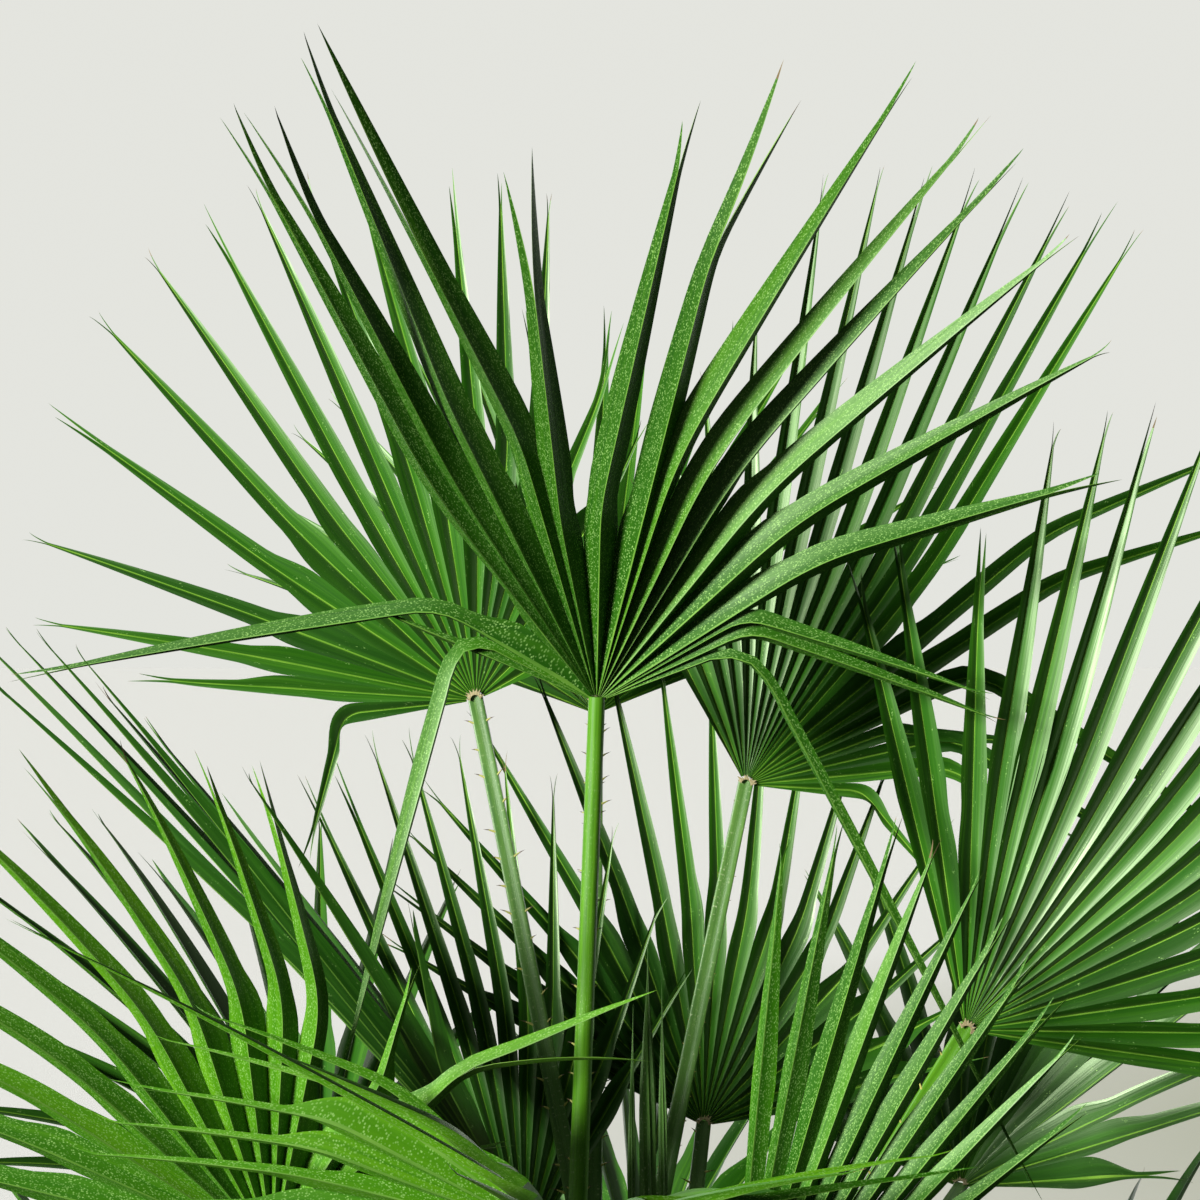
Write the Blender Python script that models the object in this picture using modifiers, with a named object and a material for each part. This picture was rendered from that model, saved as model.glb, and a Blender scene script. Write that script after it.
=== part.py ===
"""A European fan palm in a plain round pot, modelled in metres with +Z up and the pot standing on z = 0.

Each frond is a spiny stalk that rises from a fibrous stem and carries a pleated fan. A fan is one thin
blade: its leaflets are joined from the hub out to the split and cut free to the rib beyond it.
"""
import math

import bmesh
import bpy
import numpy as np
from mathutils.bvhtree import BVHTree

# The pot and its soil
POT_HEIGHT = 0.300
POT_TOP_RADIUS = 0.180
POT_FOOT_RADIUS = 0.132
POT_RIM_HEIGHT = 0.040
POT_RIM_OUT = 0.006
POT_WALL = 0.009
POT_FLOOR = 0.012
POT_EDGE = 0.002
SOIL_TOP = 0.270
GAP = 0.0003
SOIL_CLEAR = 0.00033
ROUND_STEPS = 32

# The stems: middle, top height, top radius
STEMS = {
    "main_stem": ((0.010, 0.018), 0.400, 0.058),
    "left_stem": ((-0.095, -0.012), 0.360, 0.033),
    "right_stem": ((0.106, 0.064), 0.360, 0.033),
}
STEM_FLARE = 1.12
STEM_FOOT_SHARE = 0.95
STEM_STEPS = 16

# The stalks
STALK_FOOT_RADIUS = 0.0080
STALK_MID_RADIUS = 0.0065
STALK_TIP_RADIUS = 0.0045
STALK_RISE = 0.05
STALK_START = 0.008
STALK_POINTS = 5
STALK_END_AHEAD = 0.0033

# The unopened leaf that stands in the middle
SPEAR_FOOT = (0.030, 0.010)
SPEAR_TOP = 0.766
SPEAR_RADIUS = 0.0060
SPEAR_TAPER_FROM = 0.6
SPEAR_TIP_SHARE = 0.2

# The fans
HUB_RADIUS = 0.0060
SPLIT = 0.120
RIB_THICKNESS = 0.0050
RIDGE_THICKNESS = 0.0030
LEAFLET_SPREAD = 0.078
UNEVENNESS = 0.22
UNEVEN_TURN = 2.4
HUB_EVENNESS = 0.5
END_RIDGE_OUT = 0.5
LEAFLET_HALF_WIDTH = 0.0105
LEAST_HALF_WIDTH = 0.0065
PLACE_SHARE = 0.45
WIDEST_AT = 0.45
SPLIT_WIDTH_SHARE = 0.82
THIN_RIB_SHARE = 0.45
FOLD = 0.70
STEPS = 24
LEAST_FREE = 0.030
FIRST_FREE = 0.020
DROOP_CURVED = 0.15
STRAIGHT_STATIONS = (12, 18)
CURVED_STATIONS = (10, 14, 19)
BEND_SPAN = 0.14
EASE_SPAN = 0.35
CATCH_UP = 1.42
REACH_POWER = 1.3
TEST_START = 0.020
TEST_MARGIN = 0.0014
OWN_MARGIN = 0.0003
DODGES = (0, 4, -4, 8, -8, 13, -13, 18)
TRIMS = (1.0, 0.8, 0.62, 0.48)
STUB = 0.2
NEAR_LEAFLETS = 3

# Points of a turned or swept surface closer than this are one point
MERGE_DISTANCE = 0.0001
SWEPT_MERGE_DISTANCE = 0.00001


def fan(stem, foot, hub, bearings, reach, tilt, centre=0, turn=0, droop=0.05, upper=1, bends=None,
        rise=STALK_RISE):
    """Named sizes of one frond: bearings from straight up, tilt outwards, reach at left, middle, right."""
    return {
        "stem": stem, "foot": foot, "hub": hub, "bearings": bearings, "reach": reach, "tilt": tilt,
        "centre": centre, "turn": turn, "droop": droop, "upper": upper, "bends": bends or {}, "rise": rise,
    }


def even(first, last, count):
    """Bearings spread over a fan with the slight unevenness of a grown one."""
    step = (last - first) / (count - 1)
    return tuple(first + step * (i + UNEVENNESS * math.sin(UNEVEN_TURN * i)) for i in range(count))


FANS = {
    "fan_01": fan("main_stem", (-0.020, -0.015), (-0.002, -0.050, 0.922),
                  (-67, -66, -65, -30, -28, -22.5, -10, -8, 9, 27, 27, 34, 38, 46, 56, 68, 66, 68, 69),
                  (0.330, 0.490, 0.343),
                  ((-90, 16), (-69, 20), (-35, 31), (-25, 33), (-12, 34), (9, 34), (19, 33),
                   (27, 30), (34, 24), (56, 24), (90, 16)), droop=0.06,
                  bends={0: (0.80, -66, 22, 0.155), 1: (0.24, -165, -8, 0.36), 2: (0.30, -98.5, -10, 0.373),
                         5: (0.50, -21, 26, 0.45), 6: (0.40, -27, 38, 0.47), 7: (0.35, -6, 34, 0.375),
                         8: (0.35, 13, 34, 0.40), 9: (0.72, 26, 30, 0.425), 16: (0.40, 107, 5, 0.26),
                         17: (0.38, 109, 5, 0.27), 18: (0.20, 152, 0, 0.47)}),
    "fan_02": fan("main_stem", (0.015, 0.032), (-0.082, 0.100, 0.918),
                  (-96, -86, -80, -70, -55, -44, -36, -29, -24, -19, -14, -4, 1, 6, 12, 24, 40, 60),
                  (0.26, 0.385, 0.25), (-8, -2), centre=-28, droop=0.03, upper=-1,
                  bends={0: (0.45, -165, 0, 0.19), 1: (0.80, -84, -2, 0.23), 14: (0.80, 14, -6, 0.27),
                         15: (0.80, 24, -4, 0.22), 16: (0.80, 40, -3, 0.19), 17: (0.80, 60, -2, 0.17)}),
    "fan_03": fan("main_stem", (0.008, 0.056), (0.097, 0.120, 0.861),
                  (-27, -20, -10, -4, 4, 8, 13, 17, 21, 25, 29, 32, 35, 46, 53, 59, 66, 74, 83, 93),
                  (0.30, 0.480, 0.36), (-12, 0), centre=33, droop=0.03, upper=-1,
                  bends={0: (0.80, -24, -2, 0.20), 1: (0.80, -19, -4, 0.22), 2: (0.80, -11, -6, 0.25),
                         3: (0.80, -4, -8, 0.28), 4: (0.80, 4, -9, 0.33), 13: (0.60, 66, -8, 0.44),
                         14: (0.60, 72, -18, 0.42), 15: (0.42, 122, 6, 0.40), 16: (0.44, 94, -5, 0.37),
                         17: (0.45, 120, -16, 0.31), 18: (0.55, 118, -24, 0.24),
                         19: (0.45, 140, -8, 0.17)}),
    "fan_04": fan("main_stem", (0.045, 0.052), (0.070, 0.150, 0.628),
                  (-60, -53, -46, -40, -30, -21, -12, -6, 0, 7, 13, 19, 25, 37, 50, 64, 76),
                  (0.26, 0.34, 0.20), (-5, -5), centre=-18, droop=0.0, upper=-1),
    "fan_05": fan("main_stem", (0.060, 0.006), (0.232, 0.030, 0.711),
                  (-14, -9, 3, 8, 12, 16, 21, 28, 33, 38, 43, 48, 53, 59, 68, 79, 90, 98),
                  (0.31, 0.46, 0.34), (5, 5), centre=36, droop=0.0, upper=-1, rise=0.03,
                  bends={2: (0.80, 3, 5, 0.32)}),
    "fan_07": fan("left_stem", (-0.109, -0.030), (-0.190, -0.130, 0.607),
                  (-96, -86, -77, -68, -60, -52, -44, -35, -26, -17, -10, -5, 25, 40, 58, 75),
                  (0.36, 0.36, 0.13), (14, 8), centre=-50, droop=0.22,
                  bends={12: (0.60, 16, 10, 0.20), 13: (0.58, 76, 5, 0.27), 14: (0.70, 76, 10, 0.16),
                         15: (0.70, 92, 10, 0.16)}),
    "fan_08": fan("main_stem", (-0.010, -0.034), (-0.023, -0.170, 0.622),
                  (-92, -86, -80, -77, -73, -66, -59, -54, -44, -32, -18, 12, 38, 56, 66, 73, 78),
                  (0.30, 0.26, 0.24),
                  ((-92, 8), (-54, 15), (-46, 22), (-40, 45), (-32, 62), (-18, 73), (12, 80), (38, 79),
                   (56, 74), (66, 62), (73, 48), (78, 34)), centre=-60, droop=0.10,
                  bends={8: (0.35, -59, 10, 0.44)}),
    "fan_09": fan("main_stem", (0.032, -0.026), (0.076, -0.120, 0.520),
                  (5, 10, 15, 19, 24, 28, 33, 38, 42, 50),
                  (0.33, 0.36, 0.27), (10, 6), centre=15, droop=0.04),
    "fan_06": fan("left_stem", (-0.078, 0.008), (-0.060, 0.020, 0.610),
                  even(-36, 50, 11), (0.34, 0.50, 0.42), (43, 33), turn=-76, droop=0.04),
    "fan_10": fan("main_stem", (-0.026, 0.036), (-0.050, 0.100, 0.555),
                  (-26, -22, -18, -14, -9, -4, 2, 11, 21, 31),
                  (0.35, 0.36, 0.22), (-8, -8), centre=-18, droop=0.0, upper=-1),
    "fan_11": fan("left_stem", (-0.118, 0.000), (-0.290, 0.080, 0.460),
                  even(-80, 80, 15), (0.30, 0.37, 0.30), (66, 30), turn=-78, droop=0.35),
    "fan_12": fan("right_stem", (0.128, 0.054), (0.310, 0.040, 0.470),
                  even(-80, 80, 15), (0.30, 0.38, 0.30), (64, 30), turn=88, droop=0.35),
    "fan_13": fan("left_stem", (-0.084, -0.034), (-0.120, -0.260, 0.480),
                  even(-80, 62, 14), (0.28, 0.36, 0.28), (60, 30), turn=-30, droop=0.40,
                  bends={12: (0.45, 52, 12, 0.37)}),
    "fan_14": fan("main_stem", (0.050, -0.014), (0.150, -0.270, 0.430),
                  even(-66, 80, 14), (0.28, 0.36, 0.28), (70, 32), turn=24, droop=0.40,
                  bends={5: (0.50, 20, 20, 0.37)}),
    "fan_15": fan("main_stem", (-0.005, 0.068), (-0.003, 0.320, 0.900),
                  even(-66, 66, 15), (0.30, 0.38, 0.30), (32, 18), turn=180, droop=0.10),
    "fan_16": fan("main_stem", (-0.035, 0.052), (-0.200, 0.260, 0.560),
                  even(-80, 80, 16), (0.30, 0.38, 0.30), (46, 22), turn=-140, droop=0.20),
    "fan_17": fan("right_stem", (0.110, 0.086), (0.260, 0.280, 0.560),
                  even(-80, 80, 16), (0.30, 0.38, 0.30), (44, 22), turn=140, droop=0.20),
    "fan_18": fan("right_stem", (0.087, 0.074), (0.030, 0.330, 0.460),
                  even(-78, 78, 15), (0.28, 0.36, 0.28), (66, 32), turn=176, droop=0.40),
}

# Surfaces: base colour, roughness
SURFACES = {
    "pot_glaze": ((0.72, 0.70, 0.65, 1.0), 0.45),
    "soil_brown": ((0.045, 0.030, 0.020, 1.0), 0.95),
    "stem_fibre": ((0.19, 0.12, 0.07, 1.0), 0.90),
    "stalk_green": ((0.15, 0.30, 0.06, 1.0), 0.45),
    "leaf_green": ((0.08, 0.20, 0.035, 1.0), 0.45),
}

UP = np.array((0.0, 0.0, 1.0))


def unit(vector):
    return vector / np.linalg.norm(vector)


def smooth(share):
    share = min(1.0, max(0.0, share))
    return share * share * (3.0 - 2.0 * share)


def ray(bearing, tilt, turn):
    """Direction of a leaflet seen at a bearing from straight up on a fan that leans outwards by tilt."""
    b = math.radians(bearing)
    t = math.radians(tilt)
    angle = math.atan2(math.sin(b) * math.cos(t), math.cos(b))
    x = math.sin(angle)
    y = -math.cos(angle) * math.sin(t)
    z = math.cos(angle) * math.cos(t)
    c = math.cos(math.radians(turn))
    s = math.sin(math.radians(turn))
    return np.array((c * x - s * y, s * x + c * y, z))


def share_of(spec, bearing):
    """Where a bearing lies between the fan's middle (0) and its ends (-1 and 1)."""
    bearings = spec["bearings"]
    offset = bearing - spec["centre"]
    end = bearings[0] if offset < 0 else bearings[-1]
    return offset / max(1.0, abs(end - spec["centre"]))


def tilt_at(spec, bearing):
    if isinstance(spec["tilt"][0], tuple):
        return float(np.interp(bearing, *zip(*spec["tilt"])))
    middle, ends = spec["tilt"]
    return middle + (ends - middle) * min(1.0, abs(share_of(spec, bearing)))


def reach_at(spec, bearing):
    left, middle, right = spec["reach"]
    share = share_of(spec, bearing)
    end = left if share < 0 else right
    return middle + (end - middle) * min(1.0, abs(share)) ** REACH_POWER


def base_bearings(spec):
    """Bearings at the hub, evener than the bearings of the free ends."""
    ends = spec["bearings"]
    step = (ends[-1] - ends[0]) / (len(ends) - 1)
    return [HUB_EVENNESS * (ends[0] + step * i) + (1.0 - HUB_EVENNESS) * b for i, b in enumerate(ends)]


def base_rays(spec):
    return [ray(b, tilt_at(spec, b), spec["turn"]) for b in base_bearings(spec)]


def upper_normal(spec, rays, i):
    """The side of the fan that faces up and in, square to rib i."""
    before = rays[max(0, i - 1)]
    after = rays[min(len(rays) - 1, i + 1)]
    normal = unit(np.cross(after - before, rays[i]))
    tilt = math.radians(tilt_at(spec, spec["centre"]))
    c = math.cos(math.radians(spec["turn"]))
    s = math.sin(math.radians(spec["turn"]))
    inward = np.array((-s * math.cos(tilt), c * math.cos(tilt), math.sin(tilt))) * spec["upper"]
    return normal if normal @ inward > 0 else -normal


def rib_path(spec, rays, i, dodge, trim):
    """Points along rib i: straight out to the split, then easing or bending to its own bearing."""
    start = rays[i]
    own = spec["bearings"][i]
    based = base_bearings(spec)[i]
    length = reach_at(spec, own)
    bend = spec["bends"].get(i)
    if bend:
        bend_at, to_bearing, to_tilt, length = bend
        end = ray(to_bearing, to_tilt + dodge, spec["turn"])
    else:
        settled = based + (own - based) * CATCH_UP
        end = ray(settled, tilt_at(spec, own) + dodge, spec["turn"])
    length = max(length * trim, SPLIT + LEAST_FREE)
    points = [np.array(spec["hub"])]
    step = length / STEPS
    for k in range(STEPS):
        along = (k + 0.5) / STEPS
        free = (along * length - SPLIT) / (length - SPLIT)
        if bend:
            mix = smooth((along - bend_at) / BEND_SPAN + 0.5)
        else:
            mix = smooth(free / EASE_SPAN)
        direction = unit(start * (1.0 - mix) + end * mix)
        if free > 0:
            direction = unit(direction - UP * spec["droop"] * free * free)
        points.append(points[-1] + direction * step)
    return points, length


def spacing(spec):
    """Mean angle between neighbouring leaflets."""
    return math.radians((spec["bearings"][-1] - spec["bearings"][0]) / (len(spec["bearings"]) - 1))


def widest(spec):
    """Half the width of the fan's leaflets at their widest, set by how closely they stand."""
    return min(LEAFLET_HALF_WIDTH, max(LEAST_HALF_WIDTH, LEAFLET_SPREAD * spacing(spec)))


def half_width(spec, share, length):
    """Half the width of a free leaflet at a share of its length, no wider than its place near the split."""
    rise = SPLIT_WIDTH_SHARE + (1.0 - SPLIT_WIDTH_SHARE) * smooth(share / WIDEST_AT)
    fall = 1.0 - max(0.0, (share - WIDEST_AT) / (1.0 - WIDEST_AT)) ** 2
    return min(widest(spec) * rise * fall, PLACE_SHARE * spacing(spec) * share * length)


def sections(spec, rays, i, dodge, trim, margin=0.0):
    """Edges and rib, above and below, at each free station of leaflet i, and its tip."""
    points, length = rib_path(spec, rays, i, dodge, trim)
    stations = CURVED_STATIONS if (i in spec["bends"] or spec["droop"] > DROOP_CURVED) else STRAIGHT_STATIONS
    normal = upper_normal(spec, rays, i)
    rows = []
    for k in range(1, STEPS):
        tangent = unit(points[k + 1] - points[k - 1])
        normal = unit(normal - tangent * (normal @ tangent))
        if k not in stations or k * length / STEPS < SPLIT + FIRST_FREE:
            continue
        side = np.cross(tangent, normal)
        wide = half_width(spec, k / STEPS, length) + margin
        full = THIN_RIB_SHARE + (1.0 - THIN_RIB_SHARE) * wide / LEAFLET_HALF_WIDTH
        thick = RIB_THICKNESS / 2 * full + margin
        raised = points[k] + normal * wide * FOLD
        rows.append((raised - side * wide, points[k] + normal * thick,
                     raised + side * wide, points[k] - normal * thick))
    return rows, points[STEPS]


def leaflet_tree(spec, rays, i, dodge, trim, whole):
    """A search tree round leaflet i, made slightly thick, from the hub or from its first free station."""
    rows, tip = sections(spec, rays, i, dodge, trim, TEST_MARGIN if whole else OWN_MARGIN)
    if whole:
        normal = upper_normal(spec, rays, i)
        side = np.cross(rays[i], normal)
        for out in (SPLIT, TEST_START):
            middle = np.array(spec["hub"]) + rays[i] * out
            wide = widest(spec) * out / SPLIT
            raised = middle + normal * wide * FOLD
            rows.insert(0, (raised - side * wide, middle + normal * RIDGE_THICKNESS,
                            raised + side * wide, middle - normal * RIDGE_THICKNESS))
    if not rows:
        return None
    verts = [tuple(p) for row in rows for p in row] + [tuple(tip)]
    faces = []
    for k in range(len(rows) - 1):
        for c in range(4):
            a = 4 * k + c
            b = 4 * k + (c + 1) % 4
            faces.append((a, b, b + 4, a + 4))
    last = 4 * (len(rows) - 1)
    for c in range(4):
        faces.append((last + c, last + (c + 1) % 4, len(verts) - 1))
    return BVHTree.FromPolygons(verts, faces)


def settle(spec, others):
    """Choose for each leaflet a dodge and a trim that keep it clear of every other piece."""
    rays = base_rays(spec)
    chosen = []
    own_trees = []
    for i in range(len(rays)):
        done = None
        for trim in TRIMS:
            for dodge in DODGES:
                whole = leaflet_tree(spec, rays, i, dodge, trim, True)
                if any(whole.overlap(tree) for tree in others):
                    continue
                free = leaflet_tree(spec, rays, i, dodge, trim, False)
                if free and any(free.overlap(tree) for tree in own_trees[-NEAR_LEAFLETS:]):
                    continue
                done = (dodge, trim)
                if free:
                    own_trees.append(free)
                break
            if done:
                break
        chosen.append(done or (0, STUB))
        if not done:
            print("no clear way for leaflet", i)
    trees = [leaflet_tree(spec, rays, i, d, t, True) for i, (d, t) in enumerate(chosen)]
    return chosen, trees


def new_object(name, verts, faces, surface):
    mesh = bpy.data.meshes.new(name)
    mesh.from_pydata([tuple(v) for v in verts], [], faces)
    work = bmesh.new()
    work.from_mesh(mesh)
    bmesh.ops.recalc_face_normals(work, faces=work.faces)
    work.to_mesh(mesh)
    work.free()
    obj = bpy.data.objects.new(name, mesh)
    palm.objects.link(obj)
    mesh.materials.append(surfaces[surface])
    return obj


def fan_blade(name, spec, chosen):
    """One closed pleated blade: joined pleats to the split, free folded leaflets beyond it."""
    rays = base_rays(spec)
    count = len(rays)
    hub = np.array(spec["hub"])
    normals = [upper_normal(spec, rays, i) for i in range(count)]
    verts = []
    faces = []

    def add(point):
        verts.append(tuple(point))
        return len(verts) - 1

    def pair(point, normal, thickness):
        return add(point + normal * thickness / 2), add(point - normal * thickness / 2)

    rib_in = []
    rib_out = []
    for i in range(count):
        rib_in.append(pair(hub + rays[i] * HUB_RADIUS, normals[i], RIB_THICKNESS))
        rib_out.append(pair(hub + rays[i] * SPLIT, normals[i], RIB_THICKNESS))
    ridge_in = []
    ridge_out = []
    for j in range(count + 1):
        if j == 0:
            way = unit(rays[0] + (rays[0] - rays[1]) * END_RIDGE_OUT)
            normal = normals[0]
            near = rays[0]
        elif j == count:
            way = unit(rays[-1] + (rays[-1] - rays[-2]) * END_RIDGE_OUT)
            normal = normals[-1]
            near = rays[-1]
        else:
            way = unit(rays[j - 1] + rays[j])
            normal = unit(normals[j - 1] + normals[j])
            near = rays[j]
        lift = math.sqrt(max(0.0, 1.0 - (way @ near) ** 2)) * FOLD
        for out, row in ((HUB_RADIUS, ridge_in), (SPLIT, ridge_out)):
            row.append(pair(hub + way * out + normal * lift * out, normal, RIDGE_THICKNESS))
    for i in range(count):
        for ridge in (i, i + 1):
            for face in (0, 1):
                faces.append((ridge_in[ridge][face], rib_in[i][face], rib_out[i][face],
                              ridge_out[ridge][face]))
            faces.append((ridge_in[ridge][0], ridge_in[ridge][1], rib_in[i][1], rib_in[i][0]))
    for end in (0, count):
        faces.append((ridge_in[end][0], ridge_in[end][1], ridge_out[end][1], ridge_out[end][0]))
    for i in range(count):
        dodge, trim = chosen[i]
        rows, tip = sections(spec, rays, i, dodge, trim)
        rings = [[add(point) for point in row] for row in rows]
        tip_vert = add(tip)
        side = np.cross(rays[i], normals[i])
        to_right = (rays[min(i + 1, count - 1)] - rays[max(i - 1, 0)]) @ side > 0
        left = ridge_out[i] if to_right else ridge_out[i + 1]
        right = ridge_out[i + 1] if to_right else ridge_out[i]
        if not rings:
            for face in (0, 1):
                faces.append((left[face], rib_out[i][face], tip_vert))
                faces.append((rib_out[i][face], right[face], tip_vert))
            faces.append((left[0], left[1], tip_vert))
            faces.append((right[0], right[1], tip_vert))
        else:
            edge_left, rib_top, edge_right, rib_bottom = rings[0]
            faces.append((left[0], rib_out[i][0], rib_top, edge_left))
            faces.append((rib_out[i][0], right[0], edge_right, rib_top))
            faces.append((left[1], rib_out[i][1], rib_bottom, edge_left))
            faces.append((rib_out[i][1], right[1], edge_right, rib_bottom))
            faces.append((left[0], left[1], edge_left))
            faces.append((right[0], right[1], edge_right))
            for k in range(len(rings) - 1):
                for c in range(4):
                    after = (c + 1) % 4
                    faces.append((rings[k][c], rings[k][after], rings[k + 1][after], rings[k + 1][c]))
            for c in range(4):
                faces.append((rings[-1][c], rings[-1][(c + 1) % 4], tip_vert))
    return new_object(name, verts, faces, "leaf_green")


def stalk_path(spec):
    """Points of a stalk from its foot on the stem to its hub."""
    foot = np.array((*spec["foot"], STEMS[spec["stem"]][1] + GAP))
    hub = np.array(spec["hub"])
    pull = foot + UP * spec["rise"]
    end_way = unit(hub - pull)
    end = hub + end_way * STALK_END_AHEAD
    points = [foot, foot + UP * STALK_START]
    for k in range(1, STALK_POINTS):
        t = k / (STALK_POINTS - 1)
        a = points[1]
        points.append(a * (1 - t) ** 2 + (pull + UP * STALK_START) * 2 * t * (1 - t) + end * t * t)
    return points


def swept(name, points, radii, surface):
    """A round limb along points, made as a bevelled curve and turned into a mesh."""
    curve = bpy.data.curves.new(name + "_line", "CURVE")
    curve.dimensions = "3D"
    curve.bevel_depth = 1.0
    curve.bevel_resolution = 2
    curve.use_fill_caps = True
    line = curve.splines.new("POLY")
    line.points.add(len(points) - 1)
    for point, place, radius in zip(line.points, points, radii):
        point.co = (*place, 1.0)
        point.radius = radius
    rod = bpy.data.objects.new(name + "_line", curve)
    palm.objects.link(rod)
    bpy.context.view_layer.update()
    evaluated = rod.evaluated_get(bpy.context.evaluated_depsgraph_get())
    mesh = bpy.data.meshes.new_from_object(evaluated)
    work = bmesh.new()
    work.from_mesh(mesh)
    bmesh.ops.remove_doubles(work, verts=work.verts, dist=SWEPT_MERGE_DISTANCE)
    bmesh.ops.recalc_face_normals(work, faces=work.faces)
    work.to_mesh(mesh)
    work.free()
    mesh.transform(rod.matrix_world)
    bpy.data.objects.remove(rod)
    obj = bpy.data.objects.new(name, mesh)
    palm.objects.link(obj)
    mesh.materials.clear()
    mesh.materials.append(surfaces[surface])
    return obj


def turned_body(name, profile, surface, steps, middle=(0.0, 0.0)):
    """A solid turned round the upright axis from a profile that runs down its outer side."""
    mesh = bpy.data.meshes.new(name)
    edges = [(k, k + 1) for k in range(len(profile) - 1)]
    mesh.from_pydata([(r, 0.0, z) for r, z in profile], edges, [])
    obj = bpy.data.objects.new(name, mesh)
    palm.objects.link(obj)
    screw = obj.modifiers.new("turn", "SCREW")
    screw.steps = steps
    screw.render_steps = steps
    screw.use_merge_vertices = True
    screw.merge_threshold = MERGE_DISTANCE
    obj.location = (*middle, 0.0)
    mesh.materials.append(surfaces[surface])
    return obj


def tree_of(obj):
    bpy.context.view_layer.update()
    evaluated = obj.evaluated_get(bpy.context.evaluated_depsgraph_get())
    mesh = evaluated.to_mesh()
    verts = [obj.matrix_world @ v.co for v in mesh.vertices]
    faces = [tuple(p.vertices) for p in mesh.polygons]
    evaluated.to_mesh_clear()
    return BVHTree.FromPolygons(verts, faces)


for old in list(bpy.data.objects):
    bpy.data.objects.remove(old)

palm = bpy.data.collections.new("potted_fan_palm")
bpy.context.scene.collection.children.link(palm)

surfaces = {}
for surface_name, (colour, roughness) in SURFACES.items():
    material = bpy.data.materials.new(surface_name)
    material.use_nodes = True
    shader = material.node_tree.nodes["Principled BSDF"]
    shader.inputs["Base Color"].default_value = colour
    shader.inputs["Roughness"].default_value = roughness
    shader.inputs["Metallic"].default_value = 0.0
    surfaces[surface_name] = material

# The pot is turned in one piece: outer wall with its rim band, flat foot, inner wall and floor
rim_foot_radius = POT_FOOT_RADIUS + (POT_TOP_RADIUS - POT_RIM_OUT - POT_FOOT_RADIUS) * (
    (POT_HEIGHT - POT_RIM_HEIGHT) / POT_HEIGHT)
inner_top = POT_TOP_RADIUS - POT_RIM_OUT - POT_WALL
inner_foot = POT_FOOT_RADIUS - POT_WALL + (inner_top - POT_FOOT_RADIUS + POT_WALL) * POT_FLOOR / POT_HEIGHT
pot = turned_body("pot", [
    (0.0, POT_FLOOR),
    (inner_foot, POT_FLOOR),
    (inner_top, POT_HEIGHT),
    (POT_TOP_RADIUS - POT_EDGE, POT_HEIGHT),
    (POT_TOP_RADIUS, POT_HEIGHT - POT_EDGE),
    (rim_foot_radius + POT_RIM_OUT, POT_HEIGHT - POT_RIM_HEIGHT),
    (rim_foot_radius, POT_HEIGHT - POT_RIM_HEIGHT - POT_EDGE),
    (POT_FOOT_RADIUS, POT_EDGE),
    (POT_FOOT_RADIUS - POT_EDGE, 0.0),
    (0.0, 0.0),
], "pot_glaze", ROUND_STEPS)

# The soil fills the pot up to its flat top, clear of the wall by the gap
soil_low = POT_FLOOR + GAP
soil_share = (SOIL_TOP - POT_FLOOR) / (POT_HEIGHT - POT_FLOOR)
soil_foot = inner_foot - SOIL_CLEAR
soil_edge = inner_foot + (inner_top - inner_foot) * soil_share - SOIL_CLEAR
soil = turned_body("soil", [
    (0.0, SOIL_TOP), (soil_edge, SOIL_TOP), (soil_foot, soil_low), (0.0, soil_low),
], "soil_brown", ROUND_STEPS)

settled_trees = [tree_of(pot), tree_of(soil)]
for stem_name, (middle, top, radius) in STEMS.items():
    low = SOIL_TOP + GAP
    stem = turned_body(stem_name, [
        (0.0, top), (radius, top), (radius * STEM_FLARE, (top + low) / 2), (radius * STEM_FOOT_SHARE, low),
        (0.0, low),
    ], "stem_fibre", STEM_STEPS, middle)
    settled_trees.append(tree_of(stem))

# The unopened leaf stands upright on the main stem
spear_low = STEMS["main_stem"][1] + GAP
spear_heights = (spear_low, spear_low + (SPEAR_TOP - spear_low) * SPEAR_TAPER_FROM, SPEAR_TOP)
spear = swept("spear_leaf", [(*SPEAR_FOOT, z) for z in spear_heights],
              (SPEAR_RADIUS, SPEAR_RADIUS, SPEAR_RADIUS * SPEAR_TIP_SHARE), "leaf_green")
settled_trees.append(tree_of(spear))

stalks = {}
for fan_name, spec in FANS.items():
    points = stalk_path(spec)
    radii = [STALK_FOOT_RADIUS, STALK_FOOT_RADIUS]
    for k in range(1, STALK_POINTS):
        radii.append(STALK_MID_RADIUS + (STALK_TIP_RADIUS - STALK_MID_RADIUS) * k / (STALK_POINTS - 1))
    stalk = swept(fan_name.replace("fan", "stalk"), points, radii, "stalk_green")
    tree = tree_of(stalk)
    for other_name, other in stalks.items():
        if tree.overlap(other):
            print("stalks cross:", stalk.name, other_name)
    stalks[stalk.name] = tree
settled_trees.extend(stalks.values())

for fan_name, spec in FANS.items():
    chosen, trees = settle(spec, settled_trees)
    settled_trees.extend(trees)
    blade = fan_blade(fan_name, spec, chosen)
    moved = [i for i, (dodge, trim) in enumerate(chosen) if dodge]
    cut = [(i, trim) for i, (dodge, trim) in enumerate(chosen) if trim < 1]
    print(fan_name, len(chosen), "leaflets, moved", moved, "trimmed", cut)
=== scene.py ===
# %% [markdown]
# # A European fan palm in a plain pot
# The palm is a clump of three short fibrous stems in a round pot. Spiny stalks rise from the stems, and each
# carries one pleated fan of long folded leaflets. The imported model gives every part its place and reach; this
# lesson dresses it: the fans get finer leaflets, the stalks their spines, the stems their old leaf bases.

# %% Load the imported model
import math

import bmesh
import bpy
import numpy as np
from mathutils import Euler, Matrix, Vector


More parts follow.
